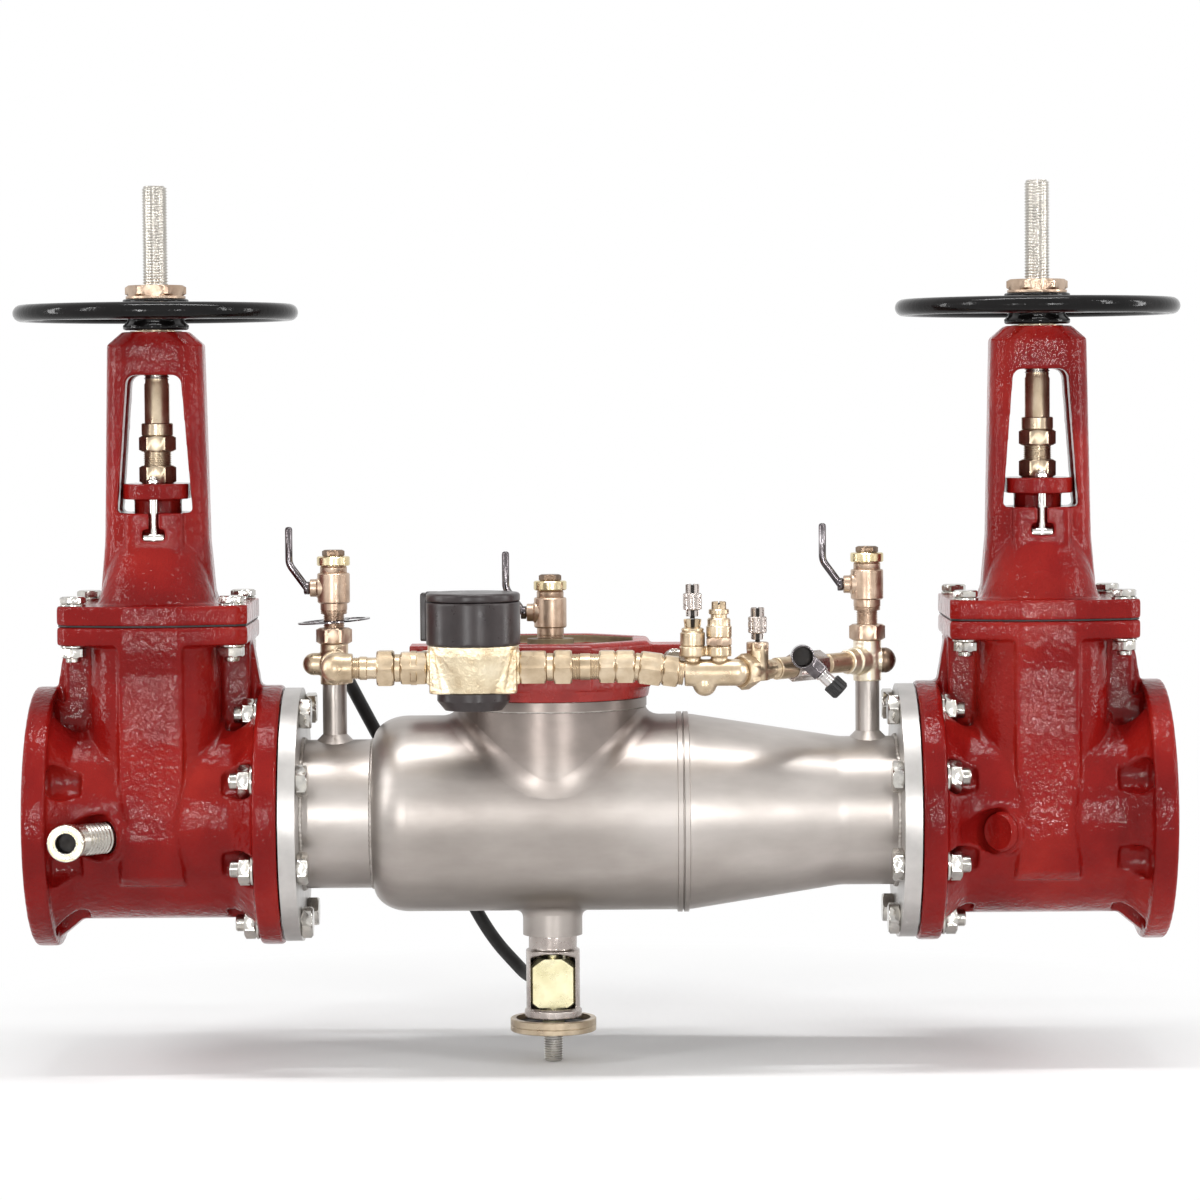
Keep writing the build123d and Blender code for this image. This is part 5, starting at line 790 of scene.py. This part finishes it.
FRONT_Y = -165.0
STEP_BOTTOM_Z = 143.0
STEP_TOP_Z = 189.0
STEP_HALF_WIDTH = 46.0
STEP_DEPTH = 3.2
meter = cast("meter_body", 1.1, 4, METER_BRASS)
for point in meter.data.vertices:
    x, y, z = point.co / MM
    across_front = abs(x - METER_X)
    edge = 31.0 + (z - 141.0) / 50.0 * 9.0
    step_in = max(0.0, min(1.0, (across_front - edge) / 2.5))
    if y < FRONT_Y and STEP_BOTTOM_Z < z < STEP_TOP_Z and across_front < STEP_HALF_WIDTH:
        fade_z = min(1.0, (z - STEP_BOTTOM_Z) / 2.0, (STEP_TOP_Z - z) / 2.0)
        fade_x = min(1.0, (STEP_HALF_WIDTH - across_front) / 3.0)
        point.co.y += STEP_DEPTH * step_in * fade_z * fade_x * MM


# Coupling with the unpainted wall of its recess

RECESS_REACH = 89.0
RECESS_FLOOR_Z = 176.0
coupling = cast("cover_coupling", 1.4, 8, RED_COUPLING)
coupling.data.materials.append(OLIVE)
for face in coupling.data.polygons:
    x, y, z = face.center / MM
    reach = max(abs((x - PORT_X) * cos(a) + y * sin(a)) for a in (0, pi / 4, pi / 2, 3 * pi / 4))
    if reach < RECESS_REACH and z > RECESS_FLOOR_Z and abs(face.normal.z) < 0.6:
        face.material_index = 1


# Test cocks with their bent levers

COCKS = {1: (RISER_IN_X, 216.0), 2: (PORT_X, 188.0), 3: (RISER_OUT_X, 216.0)}
LEVER_RISE = 28.0
for number, (x, z) in COCKS.items():
    shapes = [
        [(z, 13.6)] + thread_rows(z + 0.2, z + 4.0, 14.3, 1.6, 0.6) + [(z + 4.4, 14.5), (z + 12.5, 14.5)],
        [(z + 11.6, 16.0), (z + 13.0, 17.5), (z + 42.8, 17.5), (z + 44.0, 16.6)],
        [(z + 43.6, 14.0), (z + 44.4, 14.5), (z + 50.0, 14.5), (z + 51.0, 13.8), (z + 52.4, 14.4)],
    ]
    if number != 2:
        shapes.append(hex_rows(z - 32.0, z - 15.0, 33.5))
        shapes.append(thread_rows(z - 15.5, z + 0.5, 11.4, 2.0, 0.8))
    body = lathe(shapes, (x, 0, 0), UP, ALONG, 64)
    boss = [[(8.0, 13.5), (16.5, 12.6), (18.5, 9.6), (24.6, 9.5), (25.4, 8.8)]]
    body = join([body, lathe(boss, (x, 0, z + LEVER_RISE), (-1, 0, 0), UP, 40)])
    stand_for(piece_from(body, f"test_cock_{number}_turned", COCK), f"test_cock_{number}")
    cap_rows = [(z + 52.0, 16.8), (z + 53.2, 17.8), (z + 60.8, 17.8), (z + 62.0, 16.8)]
    cap = lathe([cap_rows], (x, 0, 0), UP)
    stand_for(piece_from(cap, f"test_cock_{number}_ring", BRASS_BRIGHT), f"test_cock_{number}")
    plug = lathe([hex_rows(z + 61.6, z + 69.0, 21.0)], (x, 0, 0), UP, ALONG)
    stand_for(piece_from(plug, f"test_cock_{number}_plug", DARK_BRONZE), f"test_cock_{number}")


def bar_along(points, radii, steps=20):
    """Round bar through points, with a radius at each; its ends are closed."""
    made = bmesh.new()
    rings = []
    side = None
    for k, point in enumerate(points):
        before = Vector(points[max(0, k - 1)])
        after = Vector(points[min(len(points) - 1, k + 1)])
        along = (after - before).normalized()
        if side is None:
            side = along.orthogonal().normalized()
        side = (side - along * side.dot(along)).normalized()
        across = along.cross(side)
        rings.append([
            made.verts.new((Vector(point) + (side * cos(a) + across * sin(a)) * radii[k]) * MM)
            for a in ring_points(steps)
        ])
    skin(made, rings)
    return made


def bent(corners, radius, per_corner=8):
    """Points along straight runs joined by arcs of a radius."""
    corners = [Vector(c) for c in corners]
    points = [corners[0]]
    for before, corner, after in zip(corners, corners[1:], corners[2:]):
        one, two = (before - corner).normalized(), (after - corner).normalized()
        half = one.angle(two) / 2
        reach = radius / tan(half)
        centre = corner + (one + two).normalized() * (radius / sin(half))
        start, end = corner + one * reach - centre, corner + two * reach - centre
        for i in range(per_corner + 1):
            points.append(centre + start.normalized().slerp(end.normalized(), i / per_corner) * radius)
    points.append(corners[-1])
    return points


for number, (x, z) in COCKS.items():
    stem_z = z + LEVER_RISE
    route = bent([(x - 28.8, 0, stem_z), (x - 47.8, 0, stem_z + 26), (x - 47.8, 0, stem_z + 66)], 16.0)
    tip = route[-1]
    route = route[:-1] + [tip - Vector((0, 0, 3.0)), tip - Vector((0, 0, 1.0)), tip]
    radii = [4.0] * (len(route) - 2) + [3.4, 1.6]
    lever = bar_along(route, radii)
    hub_rows = [round_rows(25.8, 31.8, 7.0, 0.7), round_rows(7.9, 26.0, 5.0, 0.4)]
    hub = lathe(hub_rows, (x, 0, stem_z), (-1, 0, 0), UP, 32)
    lever = piece_from(join([lever, hub]), f"cock_lever_{number}_bar", DARK_CHROME, 60.0)
    stand_for(lever, f"cock_lever_{number}")


# Knobs and bonnets of the small device

def ribbed(shapes, origin, axis, ribs, depth, steps):
    """Turned solids whose outside is cut by even ribs."""
    faces_viewer = abs(Vector(axis).normalized().y) > 0.9
    along, side, across = axes_for(axis, UP if faces_viewer else TO_VIEWER)
    made = bmesh.new()
    for profile in shapes:
        rings = []
        for distance, radius, cut in profile:
            ring = []
            for turn in ring_points(steps):
                reach = radius - (depth * cut if cos(ribs * turn) < 0 else 0.0)
                point = Vector(origin) + along * distance + (side * cos(turn) + across * sin(turn)) * reach
                ring.append(made.verts.new(point * MM))
            rings.append(ring)
        skin(made, rings)
    return made


def crown(x, y, low, high, inner, outer, flare, share, count=6):
    """Ring of upright prongs that fill a share of it, with slots between them."""
    made = bmesh.new()
    for k in range(count):
        middle = 2 * pi * k / count
        rings = []
        for z, far in ((low, outer), (high - 0.8, outer + flare), (high, outer + flare - 0.9)):
            ring = []
            for radius, order in ((inner, (-1, 0, 1)), (far, (1, 0, -1))):
                for i in order:
                    turn = middle + i * share * pi / count
                    point = Vector((x + radius * cos(turn), y + radius * sin(turn), z))
                    ring.append(made.verts.new(point * MM))
            rings.append(ring)
        skin(made, rings)
    return made


line_cock = DEVICE_OUT + ANGLED * 33.0
TOWER_1_X = MID_X + 97.6
TOWER_2_X = MID_X + 125.0
KNOBS = {1: (TOWER_1_X, BYPASS_Y, 216.3), 2: (line_cock.x, line_cock.y, 190.3)}
for number, (x, y, z) in KNOBS.items():
    grip = [
        (z + 9.3, 8.6, 0), (z + 10.2, 9.8, 1), (z + 13.4, 9.8, 1), (z + 13.8, 9.3, 0),
        (z + 14.4, 9.3, 0), (z + 14.8, 9.8, 1), (z + 21.2, 9.8, 1), (z + 21.6, 9.3, 0),
        (z + 22.2, 9.3, 0), (z + 22.6, 9.8, 1), (z + 25.4, 9.8, 1), (z + 26.5, 8.6, 0),
    ]
    made = join([
        crown(x, y, z + 2.4, z + 9.6, 4.0, 6.8, 0.0, 0.42),
        ribbed([grip], (x, y, 0), UP, 32, 0.5, 128),
        crown(x, y, z + 26.2, z + 36.0, 4.0, 7.2, 0.0, 0.5),
    ])
    stand_for(piece_from(made, f"device_knob_{number}_knurled", NICKEL, 25.0), f"device_knob_{number}")
    # Dark bar inside the crowns: painted shade that shows in the slots between the prongs.
    core = [(z, 2.4), (z + 2.2, 2.6), (z + 2.6, 5.2), (z + 34.6, 5.6), (z + 35.2, 4.4)]
    core = lathe([core], (x, y, 0), UP)
    stand_for(piece_from(core, f"device_knob_{number}_core", DARK), f"device_knob_{number}")

tower_1 = [
    [(188.0, 12.0), (189.0, 12.9), (201.4, 12.9), (202.4, 12.0), (203.0, 11.2), (203.8, 11.2),
     (204.4, 12.0), (206.2, 11.4), (207.4, 9.0)],
]
tower_2 = [
    [(196.8, 12.6), (197.6, 13.3), (208.0, 13.3), (209.0, 12.3), (210.6, 12.0), (215.4, 12.0),
     (216.8, 10.8)],
    [(216.4, 8.8), (217.0, 8.6), (221.2, 8.6)],
    [(220.8, 9.8), (221.4, 10.6), (225.2, 10.6), (226.1, 9.8)],
    [(226.0, 5.4), (231.0, 5.4)],
]
tower_1_foot = (TOWER_1_X, BYPASS_Y, 0)
tower_2_foot = (TOWER_2_X, BYPASS_Y, 0)
made = join([
    lathe(tower_1, tower_1_foot, UP),
    crown(TOWER_1_X, BYPASS_Y, 206.6, 216.0, 5.0, 8.2, 1.2, 0.5),
    lathe(tower_2, tower_2_foot, UP),
    crown(TOWER_2_X, BYPASS_Y, 225.8, 234.0, 5.0, 7.7, 0.0, 0.72),
])
stand_for(piece_from(made, "device_bonnets_turned", BRASS), "device_bonnets")
# Dark bars inside the bonnet crowns: painted shade in their slots.
cores = join([
    lathe([[(206.0, 5.0), (215.2, 6.2), (215.6, 5.0)]], tower_1_foot, UP),
    lathe([[(226.0, 4.8), (232.4, 5.0)]], tower_2_foot, UP),
])
stand_for(piece_from(cores, "device_bonnet_slot_shades", DARK), "device_bonnets")
hexes = join([
    lathe([hex_rows(188.0, 197.0, 26.0)], tower_2_foot, UP),
    lathe([hex_rows(183.4, 190.2, 22.0)], (line_cock.x, line_cock.y, 0), UP),
])
stand_for(piece_from(hexes, "device_hexes", COCK), "device_bonnets")


# Petcock's turning stem

PETCOCK_X = MID_X + 212.3
PETCOCK_Z = 175.5
PETCOCK_STEM_Y = -137.7
stem_start = Vector((PETCOCK_X, PETCOCK_STEM_Y, PETCOCK_Z))
stem_end = Vector((MID_X + 247.5, PETCOCK_STEM_Y, 142.9))
slope = (stem_end - stem_start).normalized()
length = (stem_end - stem_start).length
shank = [
    round_rows(14.3, 26.5, 4.7, 0.3),
    round_rows(26.4, 29.0, 8.0, 0.5),
    [(28.8, 6.4), (33.0, 6.8), (length - 6.0, 6.8)],
]
shank = lathe(shank, stem_start, slope, TO_VIEWER, 40)
stand_for(piece_from(shank, "petcock_stem", CHROME), "petcock_knob")
cap = [(length - 7.5, 9.2, 0), (length - 6.8, 10.5, 1), (length + 5.2, 10.5, 1), (length + 7.5, 8.6, 0)]
cap = ribbed([cap], stem_start, slope, 14, 0.9, 112)
stand_for(piece_from(cap, "petcock_cap", RUBBER, 30.0), "petcock_knob")


# Tap fitting on the inlet valve, with painted shade in its bore and in the mouth of the petcock

TAP_FROM_STEM = 49.0
TAP_Y = -105.0
TAP_Z = -13.0
ELBOW_REACH = 48.5
ELBOW_CUT = 36.0
face = Vector((STEM_X["inlet"] - TAP_FROM_STEM, TAP_Y, TAP_Z))
tap_axis = Vector((-sin(pi / 4), -cos(pi / 4), 0))
corner = face + tap_axis * ELBOW_REACH
nipple = [(-14.0, 16.2)] + thread_rows(-1.0, 30.0, 16.6, 4.2, 1.5) + [(31.0, 16.0), (40.0, 16.0)]
nipple = lathe([nipple], face, tap_axis, UP, 56)
stand_for(piece_from(nipple, "tap_nipple", STEM), "tap_fitting")
elbow = pick("tap_fitting", [(corner.x + 22.0, corner.y + 20.0, corner.z)])


def ring_lathe(profile, origin, axis):
    """Ring turned from a closed profile of (distance, radius) rows."""
    along, side, across = axes_for(axis, UP)
    made = bmesh.new()
    rings = []
    for distance, radius in profile:
        middle = Vector(origin) + along * distance
        rings.append([
            made.verts.new((middle + (side * cos(a) + across * sin(a)) * radius) * MM)
            for a in ring_points(64)
        ])
    skin(made, rings, looped=True)
    return made


bush = [
    (9.0, 12.0), (9.0, 18.6), (10.0, 19.5), (20.5, 19.5),
    (22.0, 18.2), (22.0, 11.6), (21.0, 10.6), (9.0, 10.6),
]
bush = ring_lathe(bush, corner, TO_VIEWER)
stand_for(piece_from(bush, "tap_bush", BRASS_BRIGHT), "tap_fitting")
collar = [(-4.0, 16.4), (-3.0, 18.2), (8.0, 18.2), (9.0, 17.4), (9.0, 10.6), (-2.0, 10.6)]
collar = ring_lathe(collar, corner, TO_VIEWER)
stand_for(piece_from(collar, "tap_collar", STEM), "tap_fitting")
elbow = cast_mesh("tap_elbow", elbow, 0.9, 2, STEM)
made = bmesh.new()
made.from_mesh(elbow.data)
cut = bmesh.ops.bisect_plane(
    made, geom=made.verts[:] + made.edges[:] + made.faces[:],
    plane_co=(face + tap_axis * ELBOW_CUT) * MM, plane_no=-tap_axis, clear_outer=True,
)
rim = [part for part in cut["geom_cut"] if isinstance(part, bmesh.types.BMEdge)]
bmesh.ops.edgeloop_fill(made, edges=rim)
made.to_mesh(elbow.data)
made.free()
stand_for(elbow, "tap_fitting")
# Dark cup inside the bush: painted shade deep in the bore.
liner = [(20.4, 10.3), (1.4, 10.3), (1.4, 0.2), (0.6, 0.2), (0.6, 10.7), (20.4, 10.7)]
stand_for(piece_from(ring_lathe(liner, corner, TO_VIEWER), "tap_bore_shade", DARK), "tap_fitting")
# Dark cup in the petcock's mouth: painted shade inside it.
mouth = [(-0.4, 10.3), (-13.6, 10.3), (-13.6, 0.2), (-14.2, 0.2), (-14.2, 10.7), (-0.4, 10.7)]
mouth = ring_lathe(mouth, (PETCOCK_X, BYPASS_Y, PETCOCK_Z), TO_VIEWER)
go_with(piece_from(mouth, "petcock_mouth_shade", DARK), "petcock_body")


# Closed round boss on the outlet valve, where the inlet valve has its tapping

boss_face = (STEM_X["outlet"] - TAP_FROM_STEM, TAP_Y, TAP_Z)
boss = [(-1.0, 21.0), (5.0, 21.0), (7.4, 18.6), (7.0, 16.6), (6.2, 15.4), (6.2, 3.0)]
boss = lathe([boss], boss_face, tap_axis, UP, 64)
go_with(piece_from(boss, "outlet_boss", RED, 50.0), "outlet_valve_body")


# Relief cup with its threaded stud

stud = [(-269.5, 8.8)] + thread_rows(-268.6, -237.0, 10.4, 2.7, 1.3) + [(-236.5, 10.6), (-236.0, 10.6)]
stud = lathe([stud], (PORT_X, 0, 0), UP, ALONG)
stand_for(piece_from(stud, "relief_cup_stud", ZINC), "relief_cup")
cup = [
    (-236.6, 10.0), (-236.5, 45.0), (-235.6, 46.4), (-231.0, 46.4), (-230.4, 45.9),
    (-229.8, 46.4), (-223.4, 46.4), (-222.5, 45.6), (-222.5, 40.3), (-231.5, 40.3),
]
cup = lathe([cup], (PORT_X, 0, 0), UP, ALONG, 96)
stand_for(piece_from(cup, "relief_cup_turned", BRONZE), "relief_cup")


# Dial under the meter's lid

DIAL_Z = 224.6
DIAL = surface(
    "dial_white",
    [(0.3, (0.7, 0.7, 0.68)), (0.7, (0.8, 0.8, 0.78))],
    scale=60.0, rough=(0.4, 0.5),
)
dial = lathe([[(224.0, 44.4), (224.5, 44.6), (DIAL_Z, 44.4)]], (METER_X, BYPASS_Y, 0), UP, ALONG, 96)
go_with(piece_from(dial, "meter_dial", DIAL), "meter_register")
MARK_COUNT = 60
MARK_END = 37.0
MARK_HEIGHT = 0.25
centre = Vector((METER_X, BYPASS_Y, DIAL_Z))
marks = bmesh.new()
for i, turn in enumerate(ring_points(MARK_COUNT)):
    inner = 33.0 if i % 5 else 30.0
    half = 0.35 if i % 5 else 0.7
    out = Vector((cos(turn), sin(turn), 0))
    across = Vector((-sin(turn), cos(turn), 0))
    low = [
        centre + out * inner - across * half,
        centre + out * inner + across * half,
        centre + out * MARK_END + across * half,
        centre + out * MARK_END - across * half,
    ]
    bottom = [marks.verts.new(point * MM) for point in low]
    top = [marks.verts.new((point + Vector((0, 0, MARK_HEIGHT))) * MM) for point in low]
    skin(marks, [bottom, top])
go_with(piece_from(marks, "meter_marks", PLASTIC), "meter_register")


# Weld beads and blends on the stainless body

def weld(name, centre, axis, radius, bead, lumps):
    """Lumpy weld bead round a joint."""
    along, side, across = axes_for(axis, UP if abs(Vector(axis).z) < 0.9 else (0, 1, 0))
    made = bmesh.new()
    steps, small = lumps * 4, 10
    rings = []
    for turn in ring_points(steps):
        out = side * cos(turn) + across * sin(turn)
        size = bead * (1.0 + 0.14 * sin(lumps * turn) + 0.06 * sin(7.3 * turn))
        middle = Vector(centre) + out * radius
        rings.append([
            made.verts.new((middle + (out * cos(b) + along * 1.7 * sin(b)) * size) * MM)
            for b in ring_points(small)
        ])
    skin(made, rings, looped=True)
    go_with(piece_from(made, name, WELD, 60.0), "body_shell")


WELD = surface(
    "weld_bead",
    [(0.3, (0.3, 0.27, 0.24)), (0.6, (0.46, 0.43, 0.4))],
    scale=120.0, metallic=1.0, rough=(0.35, 0.5), bumps=[(300.0, 0.4, 0.0005)],
)
FLANGE_WELD_X = 319.0
weld("weld_head", (MID_X - 243.5, 0, 0), ALONG, 80.0, 1.3, 90)
weld("weld_inlet_flange", (MID_X - FLANGE_WELD_X, 0, 0), ALONG, 80.6, 1.8, 90)
weld("weld_outlet_flange", (MID_X + FLANGE_WELD_X, 0, 0), ALONG, 80.6, 1.8, 90)
weld("weld_port", (PORT_X, 0, 116.0), UP, 101.4, 1.0, 110)


def saddle(name, radius, way, port_run, shell_run, steps=144, arc=7):
    """Blend between an upright pipe and the shell, following the line where the two meet."""
    edge_depth, root_depth = 0.15, 1.2
    made = bmesh.new()
    rings = []
    for turn in ring_points(steps):
        out_x, out_y = cos(turn), sin(turn)
        y = radius * out_y
        z = sqrt(SHELL_RADIUS**2 - y * y)
        corner = Vector((PORT_X + radius * out_x, y, z))
        port_normal = Vector((out_x, out_y, 0))
        shell_normal = Vector((0, y, z)) / SHELL_RADIUS
        along = port_normal.cross(shell_normal).normalized()
        up = port_normal.cross(along)
        up = up if up.z > 0 else -up
        out = shell_normal.cross(along)
        out = out if out.dot(port_normal) > 0 else -out
        port_turn = turn + up.dot(Vector((-out_y, out_x, 0))) * port_run / radius
        high = Vector((PORT_X + radius * cos(port_turn), radius * sin(port_turn), z + up.z * port_run))
        shell_turn = atan2(y, z) + out.dot(Vector((0, z, -y)) / SHELL_RADIUS) * shell_run / SHELL_RADIUS
        low_x = corner.x + out.x * shell_run
        low = Vector((low_x, SHELL_RADIUS * sin(shell_turn), SHELL_RADIUS * cos(shell_turn)))
        ring = []
        for k in range(arc + 1):
            t = k / arc
            ring.append(high * (1 - t) ** 2 + corner * 2 * t * (1 - t) + low * t * t)
        ring[0] = ring[0] - port_normal * edge_depth
        ring[-1] = ring[-1] - shell_normal * edge_depth
        ring.append(corner - port_normal * root_depth - shell_normal * root_depth)
        rings.append([made.verts.new(Vector((p.x, p.y, p.z * way)) * MM) for p in ring])
    skin(made, rings, looped=True)
    go_with(piece_from(made, name, STEEL, 60.0), "body_shell")


saddle("port_blend", 101.0, 1, 15.0, 17.0)
saddle("drain_blend", 32.0, -1, 9.0, 9.0)


# Camera: fitted to the photograph

FOCAL_PIXELS = 4030.0
PHOTO_PIXELS = 1200.0
SENSOR_WIDTH = 36.0
LOOK_DOWN = 2.85
ROLL = -0.41
camera_data = bpy.data.cameras.new("camera")
camera_data.sensor_width = SENSOR_WIDTH
camera_data.lens = FOCAL_PIXELS / PHOTO_PIXELS * SENSOR_WIDTH
camera_data.clip_end = 50.0
camera = bpy.data.objects.new("camera", camera_data)
scene.collection.objects.link(camera)
camera.location = (MID_X * MM + 0.0016, -4.333, 0.4446)
look = Matrix.Rotation(radians(90.0 - LOOK_DOWN), 4, "X")
roll = Matrix.Rotation(radians(ROLL), 4, "Z")
camera.matrix_world = Matrix.Translation(camera.location) @ look @ roll
scene.camera = camera


# Floor, world and lights

FLOOR_Z = -0.2705
floor_mesh = bpy.data.meshes.new("floor")
half = 14.0
floor_corners = [(-half, -half, 0), (half, -half, 0), (half, half, 0), (-half, half, 0)]
floor_mesh.from_pydata(floor_corners, [], [(0, 1, 2, 3)])
floor = link_mesh("floor", floor_mesh)
floor.location = (MID_X * MM, 0, FLOOR_Z)
floor_material, tree, main, place = shader("pale_floor")
socket(main, "Roughness").default_value = 0.8
socket(main, "Specular IOR Level").default_value = 0.1
socket(main, "Base Color").default_value = (0.9, 0.9, 0.9, 1)
white = tree.nodes.new("ShaderNodeEmission")
socket(white, "Color").default_value = (1, 1, 1, 1)
distance = tree.nodes.new("ShaderNodeVectorMath")
distance.operation = "LENGTH"
tree.links.new(place.outputs["Object"], distance.inputs[0])
fade = remap(tree, distance.outputs["Value"], 0.0, 1.0, start=0.42, end=0.95)
mix = tree.nodes.new("ShaderNodeMixShader")
tree.links.new(fade, mix.inputs["Fac"])
tree.links.new(main.outputs["BSDF"], mix.inputs[1])
tree.links.new(white.outputs["Emission"], mix.inputs[2])
tree.links.new(mix.outputs["Shader"], tree.nodes["Material Output"].inputs["Surface"])
floor_mesh.materials.append(floor_material)

world = bpy.data.worlds.new("studio")
scene.world = world
world.use_nodes = True
tree = world.node_tree
tree.nodes.clear()
output = tree.nodes.new("ShaderNodeOutputWorld")
path = tree.nodes.new("ShaderNodeLightPath")
back = tree.nodes.new("ShaderNodeBackground")
socket(back, "Color").default_value = (1, 1, 1, 1)
socket(back, "Strength").default_value = 1.0
around = tree.nodes.new("ShaderNodeBackground")
socket(around, "Color").default_value = (1, 1, 1, 1)
socket(around, "Strength").default_value = 0.45
seen = tree.nodes.new("ShaderNodeMixShader")
shown = path.outputs["Is Camera Ray"]
for ray in ("Is Glossy Ray", "Is Transmission Ray"):
    either = tree.nodes.new("ShaderNodeMath")
    either.operation = "MAXIMUM"
    tree.links.new(shown, either.inputs[0])
    tree.links.new(path.outputs[ray], either.inputs[1])
    shown = either.outputs[0]
tree.links.new(shown, seen.inputs["Fac"])
tree.links.new(around.outputs["Background"], seen.inputs[1])
tree.links.new(back.outputs["Background"], seen.inputs[2])
tree.links.new(seen.outputs["Shader"], output.inputs["Surface"])


def lamp(name, place_at, target, size, power, spread=180.0):
    """Soft rectangular lamp aimed at a point."""
    data = bpy.data.lights.new(name, "AREA")
    data.shape = "RECTANGLE"
    data.size, data.size_y = size
    data.energy = power
    data.spread = radians(spread)
    thing = bpy.data.objects.new(name, data)
    scene.collection.objects.link(thing)
    thing.location = place_at
    direction = Vector(target) - Vector(place_at)
    thing.rotation_mode = "QUATERNION"
    thing.rotation_quaternion = direction.to_track_quat("-Z", "Y")


lamp("top", (0.606, -0.5, 2.4), (0.606, 0, 0.1), (1.8, 0.1), 34.0)
lamp("left", (-1.6, -1.4, 1.2), (0.3, 0, 0.15), (0.07, 1.6), 17.0)
lamp("right", (2.8, -1.4, 1.2), (0.9, 0, 0.15), (0.07, 1.6), 17.0)
lamp("side_left", (-1.3, -0.2, 0.6), (0.13, 0, 0.35), (0.12, 1.3), 9.0)
lamp("side_right", (2.51, -0.2, 0.6), (1.08, 0, 0.35), (0.12, 1.3), 9.0)
lamp("front_left", (-0.2, -3.0, 0.25), (0.1, 0, 0.2), (0.06, 0.8), 2.2, 60.0)
lamp("front_right", (1.41, -3.0, 0.25), (1.11, 0, 0.2), (0.06, 0.8), 2.2, 60.0)

scene.view_settings.view_transform = "Standard"
